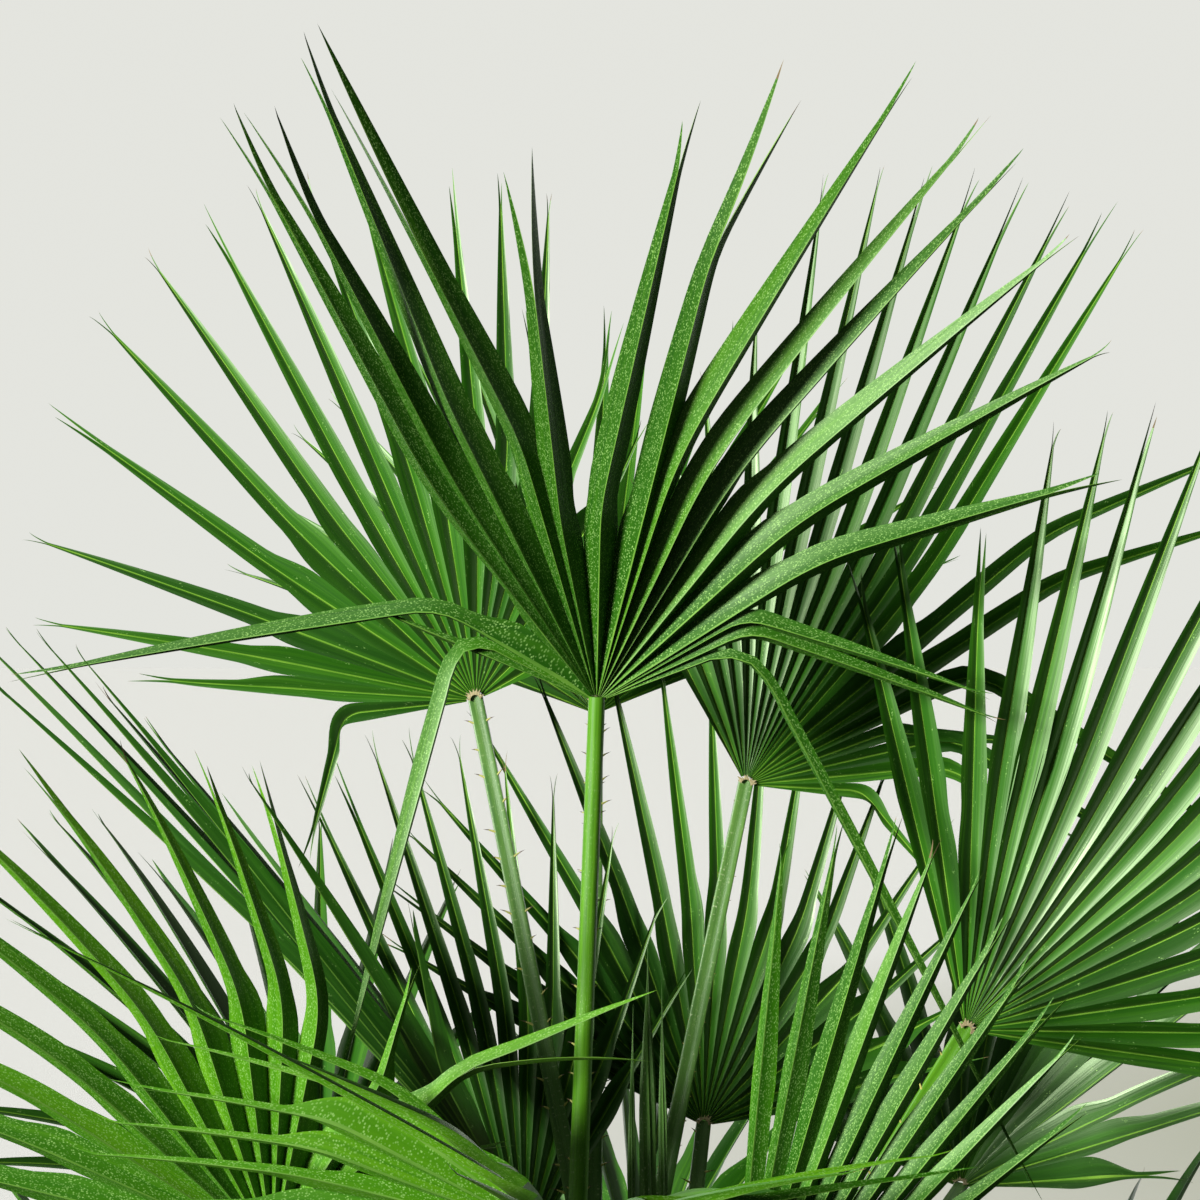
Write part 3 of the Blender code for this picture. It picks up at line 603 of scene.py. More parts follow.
# %% Sizes of a leaflet
ACROSS = np.array((-1.0, -0.72, -0.40, -0.08, 0.0, 0.08, 0.40, 0.72, 1.0))
RING = 16
BELOW = (7, 6, 5, 4, 3, 2, 1)
RIB_HALF_WIDTH = 0.00042
BLADE_THICKNESS = 0.0007
KEEL_DEPTH = 0.0015
ARCH = 0.09
PARTING = 0.040
TAPER_POWER = 1.3
FULL_WIDTH_LENGTH = 0.34
DEEPER_PLEATS = 0.75
WIDEST_PLEAT = 0.023
JOINED_RINGS = 12
FREE_RINGS = 28
PRONG_RINGS = 9
PRONG_ACROSS = (0.0, 0.12, 0.42, 0.74, 1.0)
PRONG_TAPER = 1.7
PRONG_GAP = 0.0008
SHORTER_PRONG = 0.30
SHORT_NARROWER = 0.8
MOST_TWIST = math.radians(26.0)
MOST_FLATTENED = 0.3
LEAST_HALF_WIDTH = 0.0004
WIDEST_RIB_SHARE = 0.3
KEEL_FADE = 0.65
FULL_KEEL_WIDTH = 0.006
FULL_BLADE_WIDTH = 0.003
WHOLE_RINGS = JOINED_RINGS + FREE_RINGS
print("rings of", RING, "points;", WHOLE_RINGS, "to a leaflet and", PRONG_RINGS, "to each point")


# %% Chance and smooth lines
def chance(a, b=0.0):
    """A fixed fraction for a pair of numbers, that looks random."""
    return (math.sin(12.9898 * a + 78.233 * b + 4.1) * 43758.5453) % 1.0


def chosen(limits, a, b):
    """The least of a pair of numbers, with a chance share of the other added."""
    return limits[0] + limits[1] * chance(a, b)


def through(points, at):
    """A smooth curve through points, read at fractional places."""
    i = np.clip(np.floor(at).astype(int), 0, len(points) - 2)
    f = (at - i)[:, None]
    before = points[np.maximum(i - 1, 0)]
    after = points[np.minimum(i + 2, len(points) - 1)]
    start = points[i]
    end = points[i + 1]
    return 0.5 * (2 * start + (end - before) * f + (2 * before - 5 * start + 4 * end - after) * f ** 2
                  + (3 * start - before - 3 * end + after) * f ** 3)


def rows_unit(rows):
    """Each row of an array, one long."""
    return rows / np.linalg.norm(rows, axis=1)[:, None]


def carried_normals(points, normal):
    """A normal carried along a line without turning round it."""
    carried = [normal]
    for k in range(1, len(points)):
        tangent = unit(points[min(k + 1, len(points) - 1)] - points[k - 1])
        normal = unit(normal - tangent * (normal @ tangent))
        carried.append(normal)
    return np.array(carried)


print("two chances:", round(chance(1, 1), 3), round(chance(1, 2), 3))


# %% The lines of a leaflet
def half_width(spec, along, length, slim):
    """Half the width of a leaflet at distances from the hub, no wider than its place near the split."""
    spacing = math.radians((spec["bearings"][-1] - spec["bearings"][0]) / (len(spec["bearings"]) - 1))
    widest = spec["width"] * slim * min(1.0, length / FULL_WIDTH_LENGTH) ** SHORT_NARROWER
    share = along / length
    rise = SPLIT_WIDTH_SHARE + (1.0 - SPLIT_WIDTH_SHARE) * smooth(share / WIDEST_AT)
    fall = 1.0 - np.clip((share - WIDEST_AT) / (1.0 - WIDEST_AT), 0.0, 1.0) ** TAPER_POWER
    return np.minimum(widest * rise * fall, PLACE_SHARE * spacing * along)


def leaflet_lines(spec, points, length, normal, ridges, splits, seed, cut_end, slim):
    """The rib, its frame, the width and the two edges, at each ring's distance and then at each point's."""
    parted = min(splits)
    along = np.concatenate((np.linspace(HUB_RADIUS, parted, JOINED_RINGS, endpoint=False),
                            parted + (length - cut_end - parted) * np.linspace(0.0, 1.0, FREE_RINGS),
                            length - cut_end + cut_end * np.linspace(0.0, 1.0, PRONG_RINGS + 2)[1:-1]))
    place = along / length * STEPS
    rib = through(points, place)
    tangent = rows_unit(through(points, np.minimum(place + 0.2, STEPS)) - through(points, place - 0.2))
    up = through(carried_normals(points, normal), place)
    up = rows_unit(up - tangent * (up * tangent).sum(axis=1)[:, None])
    side = np.cross(tangent, up)
    free_share = smooth((along - parted) / (length - parted))
    twist = MOST_TWIST * (chance(seed, 2) - 0.5) * free_share
    turned_side = side * np.cos(twist)[:, None] + up * np.sin(twist)[:, None]
    up = up * np.cos(twist)[:, None] - side * np.sin(twist)[:, None]
    wide = half_width(spec, along, length, slim)
    fold = DEEP_FOLD * (1.0 - MOST_FLATTENED * chance(seed, 3) * free_share)
    edges = []
    for sign, (way, lifted), split in ((-1, ridges[0], splits[0]), (1, ridges[1], splits[1])):
        deeper = 1.0 + DEEPER_PLEATS * (1.0 - np.minimum(1.0, along / split))
        joined = np.array(spec["hub"]) + along[:, None] * (way + lifted * deeper[:, None])
        free = rib + up * (wide * fold)[:, None] + turned_side * (sign * wide)[:, None]
        part = smooth((along - split) / PARTING)[:, None]
        edges.append(joined * (1.0 - part) + free * part)
    return {"along": along, "rib": rib, "tangent": tangent, "up": up, "side": turned_side, "wide": wide,
            "fold": fold, "edges": edges}


print("leaflet lines ready")


# %% The rings of a blade
def blade_rings(lines, length):
    """Rings of sixteen points round the blade: nine above and seven below, with the keel in the middle."""
    along, rib, up, edges = lines["along"], lines["rib"], lines["up"], lines["edges"]
    span = np.maximum(lines["wide"], LEAST_HALF_WIDTH)
    strip = np.minimum(WIDEST_RIB_SHARE, RIB_HALF_WIDTH / span)
    keel = KEEL_DEPTH * (1.0 - KEEL_FADE * along / length) * np.minimum(1.0, span / FULL_KEEL_WIDTH)
    blade = BLADE_THICKNESS * np.minimum(1.0, span / FULL_BLADE_WIDTH)
    rings = np.zeros((len(along), RING, 3))
    for c in range(9):
        t = np.full(len(along), ACROSS[c])
        if c in (3, 5):
            t = strip * (c - 4)
        edge = edges[0] if t[0] < 0 or c < 4 else edges[1]
        middle = rib + (edge - rib) * np.abs(t)[:, None]
        arch = ARCH * span * 4.0 * np.abs(t) * (1.0 - np.abs(t))
        lift = (0.0 if c in (0, 8) else 0.5) * blade
        rings[:, c] = middle + up * (arch + lift)[:, None]
        if c in BELOW:
            drop = keel if c == 4 else (0.55 * keel + 0.5 * blade if c in (3, 5) else lift)
            rings[:, 9 + BELOW.index(c)] = middle + up * (arch - drop)[:, None]
    return rings[:WHOLE_RINGS]


print("blade rings ready")


# %% The two points of an end
def end_points(lines, points, length, cut_end, splay, seed):
    """Rings of the two points that a leaflet ends in, each with its tip."""
    rib, up, edges = lines["rib"], lines["up"], lines["edges"]
    along, tangent = lines["along"][WHOLE_RINGS:], lines["tangent"][WHOLE_RINGS:]
    prongs = []
    for sign in (-1, 1):
        u = np.concatenate((along - (length - cut_end), (cut_end,))) / cut_end
        reach_out = rows_unit(up * lines["fold"][:, None] + lines["side"] * sign)[WHOLE_RINGS:]
        reach_out = np.concatenate((reach_out, reach_out[-1:]))
        base = np.linalg.norm(edges[max(0, sign)][WHOLE_RINGS - 1] - rib[WHOLE_RINGS - 1])
        width = base * (1.0 - u ** PRONG_TAPER)
        middle = base * 0.5 * (1.0 - u) + (splay + PRONG_GAP) * u ** 1.5
        back = cut_end * (0.0, SHORTER_PRONG)[int(sign > 0) ^ int(chance(seed, 5) > 0.5)] * chance(seed, 9) * u
        spine = np.concatenate((rib[WHOLE_RINGS:], points[-1:]))
        spine = spine - np.concatenate((tangent, tangent[-1:])) * back[:, None]
        strips = [spine + reach_out * (middle + width * (t - 0.5))[:, None] for t in PRONG_ACROSS]
        lift = 0.5 * BLADE_THICKNESS * np.minimum(1.0, width / FULL_BLADE_WIDTH)
        above = up[WHOLE_RINGS:]
        tops = [strips[c][:-1] + above * (lift[:-1] * (0.0 if c == 4 else 1.0))[:, None] for c in range(5)]
        lows = [strips[c][:-1] - above * (lift[:-1] * (1.6 if c < 2 else 1.0))[:, None] for c in range(4)]
        loop = tops[::-1] + lows if sign < 0 else tops + lows[::-1]
        prongs.append((np.stack(loop, axis=1), strips[2][-1]))
    return prongs


print("end points ready")

# %% [markdown]
# ## Making and finishing a piece
# Every piece of the plant goes through the same two helpers. One turns arrays of points and faces into a mesh
# with its finishes and maps. The other smooths it, lets it ride on the plant's one body, and hides the imported
# solid that it stands for.


# %% Make and finish a piece
def made_from(name, verts, faces, slots, materials, maps):
    """One mesh from arrays; a map gives a place for each corner of each face."""
    mesh = bpy.data.meshes.new(name)
    mesh.from_pydata(np.concatenate(verts), [], faces)
    mesh.polygons.foreach_set("material_index", slots)
    for material in materials:
        mesh.materials.append(material)
    for map_name, places in maps.items():
        layer = mesh.uv_layers.new(name=map_name)
        layer.data.foreach_set("uv", np.asarray(places, dtype=np.float32).ravel())
    made = bpy.data.objects.new(name, mesh)
    bpy.context.scene.collection.objects.link(made)
    return made


def dress(made, replaced, smooth_angle):
    """Finish a piece: smooth it, let it ride, and hide the imported solid it stands for."""
    bpy.ops.object.select_all(action="DESELECT")
    made.select_set(True)
    bpy.context.view_layer.objects.active = made
    bpy.ops.object.shade_smooth_by_angle(angle=math.radians(smooth_angle))
    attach(made, "root")
    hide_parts(replaced)
    return made


print("piece helpers ready")

# %% [markdown]
# ## A whole fan
# The leaflets of a fan go into one mesh. Each face is told which finish it wears: blade above, blade below,
# the midrib's strip in the fold, its keel underneath, and a dry brown tip on some. Two maps go with it. The
# first measures in metres, for the veins. The second lays every leaflet out in its own strip of a square
# without overlaps, so that the finish can be baked.

# %% Finishes, maps and chances of a fan
SLOTS = {"upper_a": 0, "upper_b": 1, "under_a": 2, "under_b": 3, "rib": 4, "keel": 5, "dry": 6}
ACROSS_TOP = np.concatenate((ACROSS, ACROSS[list(BELOW)]))
STRIP_LENGTH = 0.52
PRONG_LOOPS = ((0, 1, 2, 3, 4, 12, 13, 14, 15), (4, 5, 6, 7, 8, 9, 10, 11, 12))
PRONG_RING = 9
LEAFLETS_PER_FAN = 40
LEAST_FORK, MORE_FORK, LONGEST_FORK_SHARE = 0.014, 0.050, 0.25
LEAST_SPLAY, MORE_SPLAY = 0.0010, 0.0035
LEAST_DRY, MORE_DRY = 0.003, 0.014
SECOND_TONE_SHARE = 0.35
UNDRIED_SHARE = 0.35
STRIP_MARGIN = 0.05
LEAST_JOINED, MORE_JOINED, EDGE_JOINED = 0.86, 0.34, 0.8
print("finishes of a fan:", len(SLOTS))


# %% Where the leaflets are joined
def ridge_lines(spec, rays, normals):
    """Way and lift, per metre from the hub, of each ridge between two leaflets and of the two outer edges."""
    lines = []
    count = len(rays)
    for j in range(count + 1):
        near = rays[min(j, count - 1)]
        if j == 0:
            way = unit(rays[0] * 1.5 - rays[1] * 0.5)
            normal = normals[0]
        elif j == count:
            way = unit(rays[-1] * 1.5 - rays[-2] * 0.5)
            normal = normals[-1]
        else:
            way = unit(rays[j - 1] + rays[j])
            normal = unit(normals[j - 1] + normals[j])
        lines.append((way, normal * math.sqrt(max(0.0, 1.0 - (way @ near) ** 2)) * DEEP_FOLD))
    return lines


def split_places(spec, rays, lengths, seed):
    """How far from the hub each ridge is joined: near the split, or less beside a wide gap or an early bend."""
    count = len(lengths)
    early = []
    for i in range(count):
        bend = spec["bends"].get(i)
        early.append((bend[0] - BEND_SPAN / 2) * lengths[i] if bend else SPLIT * 2)
    places = []
    for j in range(count + 1):
        beside = [early[i] for i in (j - 1, j) if 0 <= i < count]
        own = SPLIT * (LEAST_JOINED + MORE_JOINED * chance(seed, j))
        if 0 < j < count:
            own = min(own, WIDEST_PLEAT / math.acos(min(1.0, rays[j - 1] @ rays[j])))
        places.append(min([own] + beside) if 0 < j < count else min([SPLIT * EDGE_JOINED] + beside))
    return places


print("ridges ready")


# %% The faces of a leaflet
def leaflet_faces(start, along, wide, length, dry, tone, key, tops, lows, strip):
    """Faces of a leaflet whose first point has the number start, with their slots and places on both maps."""
    faces, slots, vein_map, bake_map = [], [], [], []

    def corner(k, c, below):
        """Both maps' places of a ring's point, or of a tip."""
        t = ACROSS_TOP[c]
        far = length if k == len(along) else along[k]
        half = 0.0 if k == len(along) else wide[k]
        offset = 0.1 * key + (0.05 if below else 0.0)
        vein_map.append((offset + t * half, far))
        bake_map.append((far / STRIP_LENGTH, (lows if below else tops) + strip * (0.5 + 0.5 * t)))

    def wear(c, far):
        """The slot of the finish at a point of the ring."""
        if far > dry:
            return SLOTS["dry"]
        if c in (3, 4):
            return SLOTS["rib"]
        if c in (11, 12):
            return SLOTS["keel"]
        return SLOTS[("under_" if c > 7 else "upper_") + tone]

    for k in range(WHOLE_RINGS - 1):
        for c in range(RING):
            d = (c + 1) % RING
            a = start + RING * k
            faces.append((a + c, a + d, a + RING + d, a + RING + c))
            slots.append(wear(c, along[k]))
            for ring, point in ((k, c), (k, d), (k + 1, d), (k + 1, c)):
                corner(ring, point, c > 7)
    faces.append(tuple(start + c for c in reversed(range(RING))))
    slots.append(wear(8, along[0]))
    for c in reversed(range(RING)):
        corner(0, c, True)
    last = WHOLE_RINGS - 1
    first = start + RING * WHOLE_RINGS
    for loop in PRONG_LOOPS:
        before = [start + RING * last + c for c in loop]
        for k in range(PRONG_RINGS + 1):
            at_tip = k == PRONG_RINGS
            after = [first + PRONG_RING * k + n for n in range(PRONG_RING)]
            for n, c in enumerate(loop):
                m = (n + 1) % PRONG_RING
                faces.append((before[n], before[m]) + ((after[0],) if at_tip else (after[m], after[n])))
                slots.append(wear(c, along[last + k]))
                corner(last + k, c, c > 7)
                corner(last + k, loop[m], c > 7)
                if not at_tip:
                    corner(last + k + 1, loop[m], c > 7)
                corner(last + k + 1, c, c > 7)
            before = after
        first += PRONG_RING * PRONG_RINGS + 1
    return faces, slots, vein_map, bake_map


print("leaflet faces ready")


# %% Build the fans
def build_fan(name, spec, seed):
    """All the leaflets of a fan, as one piece."""
    rays = base_rays(spec)
    count = len(rays)
    normals = [upper_normal(spec, rays, i) for i in range(count)]
    ridges = ridge_lines(spec, rays, normals)
    splits = split_places(spec, rays, [length for points, length in ribs[name]], seed)
    verts = []
    gathered = ([], [], [], [])
    for i, (points, length) in enumerate(ribs[name]):
        key = seed * LEAFLETS_PER_FAN + i
        side = np.cross(rays[i], normals[i])
        to_right = (rays[min(i + 1, count - 1)] - rays[max(i - 1, 0)]) @ side > 0
        pair = (i, i + 1) if to_right else (i + 1, i)
        usual = (min(LONGEST_FORK_SHARE * length, LEAST_FORK + MORE_FORK * chance(key, 1) ** 2),
                 LEAST_SPLAY + MORE_SPLAY * chance(key, 4))
        cut_end, splay = spec["forks"].get(i, usual)
        lines = leaflet_lines(spec, points, length, normals[i], [ridges[j] for j in pair],
                              [splits[j] for j in pair], key, cut_end, spec["slim"].get(i, 1.0))
        # Listed leaflets (shady) always take the second, darker tone as painted shade; the rest take it by
        # chance.
        tone = "b" if i in spec["shady"] or chance(key, 6) < SECOND_TONE_SHARE else "a"
        dry = length - (LEAST_DRY + MORE_DRY * chance(key, 7) ** 4 if chance(key, 8) > UNDRIED_SHARE else 0.0)
        tops = (i * 2 + STRIP_MARGIN) / (2 * count)
        lows = (i * 2 + 1 + STRIP_MARGIN) / (2 * count)
        strip = (1.0 - 2 * STRIP_MARGIN) / (2 * count)
        made_faces = leaflet_faces(sum(len(v) for v in verts), lines["along"], lines["wide"], length, dry, tone,
                                   key, tops, lows, strip)
        for kept, more in zip(gathered, made_faces):
            kept.extend(more)
        verts.append(blade_rings(lines, length).reshape(-1, 3))
        for prong, tip in end_points(lines, points, length, cut_end, splay, key):
            verts.append(np.concatenate((prong.reshape(-1, 3), tip[None])))
    faces, slots, vein_map, bake_map = gathered
    materials = [leaf_finishes[side, tone] for side in spec["faces"] for tone in spec["tones"]]
    made = made_from(name + "_leaflets", verts, faces, slots, materials + [rib_pale, rib_low, tip_dry],
                     {"leaf_map": vein_map, "OFBake": bake_map})
    return dress(made, name, 38.0)


fans = [build_fan(fan_name, spec, number + 1) for number, (fan_name, spec) in enumerate(FANS.items())]
print("faces in the fans:", sum(len(made.data.polygons) for made in fans))

# %% [markdown]
# ## Piles of small shapes
# Stalks, spines, old leaf bases, fibres and crumbs are all a few small shapes repeated many times. Each is
# modelled once with the mesh tools, read back as arrays, and laid in its many places by turning and stretching
# the arrays. A pile collects them and becomes one mesh, which is far lighter than hundreds of objects.


# %% Piles of small shapes
def new_pile():
    return {"verts": [], "faces": [], "slots": [], "maps": [], "count": 0}


def put(pile, verts, faces, slots, places=None):
    """Add a shape to a pile, with its place in the pile's map if it has one."""
    base = pile["count"]
    pile["verts"].append(np.asarray(verts, dtype=float))
    pile["faces"].extend(tuple(base + v for v in face) for face in faces)
    pile["slots"].extend(slots)
    pile["maps"].append(np.zeros((len(verts), 2)) if places is None else places)
    pile["count"] += len(verts)


def lay(pile, shape, size, turn, root, slots):
    """Put a copy of a modelled shape on a pile, at its size, turned, and stood at its root."""
    put(pile, (shape[0] * size) @ np.array(turn).T + np.array(root), shape[1], slots)


def turned_to(out, across):
    """The turn that points a shape's z out, and its x across."""
    across = unit(across)
    return np.stack((across, np.cross(out, across), out), axis=1)


def piece_from(pile, name, materials, replaced, smooth_angle):
    """One finished piece from a pile."""
    corners = [v for face in pile["faces"] for v in face]
    made = made_from(name, pile["verts"], pile["faces"], pile["slots"], materials,
                     {"grain_map": np.concatenate(pile["maps"])[corners]})
    return dress(made, replaced, smooth_angle)


print("pile helpers ready")


# %% Tools for editing by hand
def read_shape(made):
    """A modelled object's points, faces and slots; the object itself is then removed."""
    mesh = made.data
    verts = np.array([v.co for v in mesh.vertices])
    shape = (verts, [tuple(f.vertices) for f in mesh.polygons], [f.material_index for f in mesh.polygons])
    bpy.data.objects.remove(made)
    return shape


def start_edit(made):
    """Open a mesh for editing, with its points, edges and faces selectable."""
    bpy.context.view_layer.objects.active = made
    bpy.ops.object.mode_set(mode="EDIT")
    bpy.context.tool_settings.mesh_select_mode = (True, True, True)


def choose(made, kind, test):
    """In edit mode, select the vertices or faces whose middle and normal pass a test."""
    bpy.ops.mesh.select_all(action="DESELECT")
    work = bmesh.from_edit_mesh(made.data)
    for item in getattr(work, kind):
        middle = item.co if kind == "verts" else item.calc_center_median()
        if test(middle, item.normal):
            item.select_set(True)
    bmesh.update_edit_mesh(made.data)


def end_edit():
    """Turn every face outwards and close the mesh."""
    bpy.ops.mesh.select_all(action="SELECT")
    bpy.ops.mesh.normals_make_consistent(inside=False)
    bpy.ops.object.mode_set(mode="OBJECT")


print("editing tools ready")


# %% Tools for shaping
def pull_up(height):
    """Extrude what is selected straight up."""
    bpy.ops.mesh.extrude_region_move(TRANSFORM_OT_translate={"value": (0.0, 0.0, height)})


def disc(sides, radius, place=(0.0, 0.0, 0.0)):
    """A flat disc with its place in its mesh, open for editing: the start of whatever is pulled up."""
    bpy.ops.object.select_all(action="DESELECT")
    bpy.ops.mesh.primitive_circle_add(vertices=sides, radius=radius, fill_type="NGON", location=place)
    bpy.ops.object.transform_apply(location=True, rotation=True, scale=True)
    start_edit(bpy.context.object)
    return bpy.context.object


def roughen(made, grain, depth, strength, direction):
    """Displace a mesh by a pattern of clouds."""
    clouds = bpy.data.textures.new(made.name + "_clouds", "CLOUDS")
    clouds.noise_scale = grain
    clouds.noise_depth = depth
    rough = made.modifiers.new("rough", "DISPLACE")
    rough.texture = clouds
    rough.texture_coords = "LOCAL"
    rough.direction = direction
    rough.strength = strength
    bpy.ops.object.modifier_apply(modifier=rough.name)


print("shaping tools ready")

# %% [markdown]
# ## Stalk finishes
# The stalks are smooth, bright to grey green, finely streaked along their length, with pale scurf where they
# have not been rubbed. Their spines are yellow at the foot and dark at the point. Streaks need a direction, so
# the stalk's map runs round it and along it in metres.


# %% Stalk finishes
STALK_STREAKS = (650.0, 14.0, 1.0)
STALK_PATCHES = (90.0, 22.0, 1.0)
STALK_GRAINS = (1100.0, 520.0, 1.0)
STALK_SCURF = (0.42, 0.50, 0.28)


def stalk_finish(name, shade, light, scurf):
    """Lengthwise streaks between two greens, with grains of pale scurf."""
    material, tree, shader = finish(name, 0.42, 0.35)
    along = node(tree, "ShaderNodeUVMap", {}, uv_map="grain_map").outputs["UV"]
    streaks = noise(tree, stretched(tree, along, STALK_STREAKS), 1.0, 3.0, 0.6)
    patches = noise(tree, stretched(tree, along, STALK_PATCHES), 1.0, 2.0, 0.5)
    green = blend(tree, spread(tree, streaks, 0.3, 0.7), shade, light)
    dots = noise(tree, stretched(tree, along, STALK_GRAINS), 1.0, 1.0, 0.5)
    share = product(tree, spread(tree, dots, 0.60, 0.72, 0.0, scurf), spread(tree, patches, 0.35, 0.65))
    tree.links.new(blend(tree, share, green, STALK_SCURF), shader.inputs["Base Color"])
    tree.links.new(spread(tree, patches, 0.3, 0.7, 0.34, 0.52), shader.inputs["Roughness"])
    tree.links.new(relief(tree, streaks, 0.4, 0.0003), shader.inputs["Normal"])
    return material


stalk_bright = stalk_finish("stalk_bright_green", (0.036, 0.130, 0.004), (0.078, 0.225, 0.009), 0.25)
stalk_grey = stalk_finish("stalk_grey_green", (0.032, 0.100, 0.014), (0.085, 0.190, 0.034), 0.6)
spine_foot = streaked_finish("spine_yellow", (0.24, 0.26, 0.05), (0.36, 0.34, 0.09), 0.45, False)
spine_point = streaked_finish("spine_dark", (0.035, 0.020, 0.010), (0.080, 0.045, 0.020), 0.40, False)
collar_brown = streaked_finish("collar_brown", (0.13, 0.100, 0.040), (0.34, 0.30, 0.16), 0.80, False)
print("stalk finishes: 2, spine finishes: 2, collar: 1")

# %% [markdown]
# ## One straight stalk and one spine
# A fan palm's stalk is rounded on its back and nearly flat on its upper face, with a shallow channel down the
# middle. It is modelled straight and one unit long: a circle is pulled up ring by ring, its upper half is
# pressed flat and the middle of the flat is pushed in. A spine is a slim cone, cut where its colour turns dark
# and its point drawn forward. Bending comes later, in code, because every stalk bends its own way.

# %% One straight stalk
STALK_RINGS = 30
STALK_SIDES = 16
FLAT_FROM = 0.3
CHANNEL_HALF_WIDTH = 0.45
CHANNEL_DEPTH = 0.22

pattern = disc(STALK_SIDES, 1.0)
for ring in range(STALK_RINGS):
    pull_up(1.0 / STALK_RINGS)
choose(pattern, "verts", lambda place, normal: place.y > FLAT_FROM)
bpy.ops.transform.resize(value=(1.0, 0.30, 1.0), center_override=(0.0, FLAT_FROM, 0.0))
choose(pattern, "verts", lambda place, normal: place.y > FLAT_FROM and abs(place.x) < CHANNEL_HALF_WIDTH)
bpy.ops.transform.translate(value=(0.0, -CHANNEL_DEPTH, 0.0))
end_edit()
stalk_shape = read_shape(pattern)
print("stalk pattern:", len(stalk_shape[0]), "points")

# %% One spine
SPINE_DARK_FROM = 0.55

bpy.ops.mesh.primitive_cone_add(vertices=6, radius1=0.16, radius2=0.0, depth=1.0, end_fill_type="NGON",
                                location=(0.0, 0.0, 0.5))
pattern = bpy.context.object
bpy.ops.object.transform_apply(location=True, rotation=True, scale=True)
for material in (spine_foot, spine_point):
    pattern.data.materials.append(material)
start_edit(pattern)
for height in (0.30, SPINE_DARK_FROM):
    bpy.ops.mesh.select_all(action="SELECT")
    bpy.ops.mesh.bisect(plane_co=(0.0, 0.0, height), plane_no=(0.0, 0.0, 1.0))
choose(pattern, "verts", lambda place, normal: place.z > 0.9)
bpy.ops.transform.translate(value=(0.0, 0.10, 0.0))
choose(pattern, "faces", lambda place, normal: place.z > SPINE_DARK_FROM)
bpy.context.object.active_material_index = 1
bpy.ops.object.material_slot_assign()
end_edit()
spine_shape = read_shape(pattern)
print("spine pattern:", len(spine_shape[1]), "faces, dark ones", sum(spine_shape[2]))

# %% [markdown]
# ## The stalks in their places
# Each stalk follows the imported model's line: up from its stem, then in one soft bend to the hub. Its flat face
# turns the way the fan's upper side faces. It widens at its foot, where it clasps the stem, and its spines
# stand along both edges, slanting forward. The straw-brown collar where the fan begins is the rim that this
# palm keeps on the upper side of every hub.

# %% Sizes of the stalks
STALK_RADII = (0.0084, 0.0084, 0.0067, 0.0061, 0.0056, 0.0051)
STALK_SUNK = 0.012
CLASP = 0.55
SPINE_FOOT = 0.0058
CLASP_SPAN = 0.028
STALK_START = 0.008
HUB_PAST = 0.0033
FOOT_GAP = 0.0003
# Length of the spines and the gap between them, where they aren't the usual ones.
SPINES = {"fan_01": (0.0050, 0.030), "fan_03": (0.0026, 0.0080)}
USUAL_SPINES = (0.0086, 0.027)
SPINES_FROM = 0.045
SPINES_END_BEFORE = 0.012
# The least, and how much a chance adds to it.
SPINE_LENGTHS = (0.65, 0.6)
SPINE_SLANTS = (0.30, 0.5)
SPINE_GAPS = (0.7, 0.6)
print("a stalk narrows from", STALK_RADII[0], "to", STALK_RADII[-1], "m")


# %% The line of a stalk
def stalk_line(spec):
    """Points of a stalk from a little below its stem's top to its hub, and the radius at each."""
    foot = np.array((*spec["foot"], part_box(spec["stem"])[1].z + FOOT_GAP))
    hub = np.array(spec["hub"])
    pull = foot + UP * spec["rise"]
    end = hub + unit(hub - pull) * HUB_PAST
    first = foot + UP * STALK_START
    t = np.linspace(0.0, 1.0, 41)[:, None]
    curve = first * (1 - t) ** 2 + (pull + UP * STALK_START) * 2 * t * (1 - t) + end * t * t
    points = np.concatenate(((foot - UP * STALK_SUNK)[None], foot[None], curve))
    radii = np.interp(t[:, 0], (0.0, 0.25, 0.5, 0.75, 1.0), STALK_RADII[1:])
    return points, np.concatenate(((STALK_RADII[0], STALK_RADII[0]), radii))


def evenly(points, values, count):
    """Points and values at even distances along a line, with those distances."""
    walked = np.concatenate(((0.0,), np.cumsum(np.linalg.norm(np.diff(points, axis=0), axis=1))))
    at = np.linspace(0.0, walked[-1], count)
    places = np.stack([np.interp(at, walked, points[:, k]) for k in range(3)], axis=1)
    return places, np.interp(at, walked, values), at


def line_frames(points, last_up):
    """Tangents, and ups carried down from the line's far end."""
    tangents = rows_unit(np.gradient(points, axis=0))
    ups = carried_normals(points[::-1], last_up)[::-1]
    ups = rows_unit(ups - tangents * (ups * tangents).sum(axis=1)[:, None])
    return tangents, ups, np.cross(ups, tangents)


print("stalk lines ready")


# %% Spines along a stalk
def laid_spines(pile, points, tangents, ups, sides, radii, at, length, gap, seed):
    """Spines along both edges of a stalk."""
    for sign in (-1, 1):
        place = SPINES_FROM + gap * chance(seed, sign)
        while place < at[-1] - SPINES_END_BEFORE:
            k = int(np.searchsorted(at, place))
            tall = length * chosen(SPINE_LENGTHS, seed + place * 100.0, sign) * (1.2 - 0.45 * place / at[-1])
            forward = chosen(SPINE_SLANTS, seed + place * 50.0, sign)
            out = unit(sides[k] * sign + tangents[k] * forward + ups[k] * 0.15)
            root = points[k] + sides[k] * sign * radii[k] * 0.80 + ups[k] * radii[k] * 0.20
            width = min(1.0, SPINE_FOOT / tall)
            turn = turned_to(out, np.cross(out, tangents[k]))
            lay(pile, spine_shape, np.array((width, width, 1.0)) * tall, turn, root,
                [1 + s for s in spine_shape[2]])
            place += gap * chosen(SPINE_GAPS, seed + place * 10.0, sign)


print("spines ready")

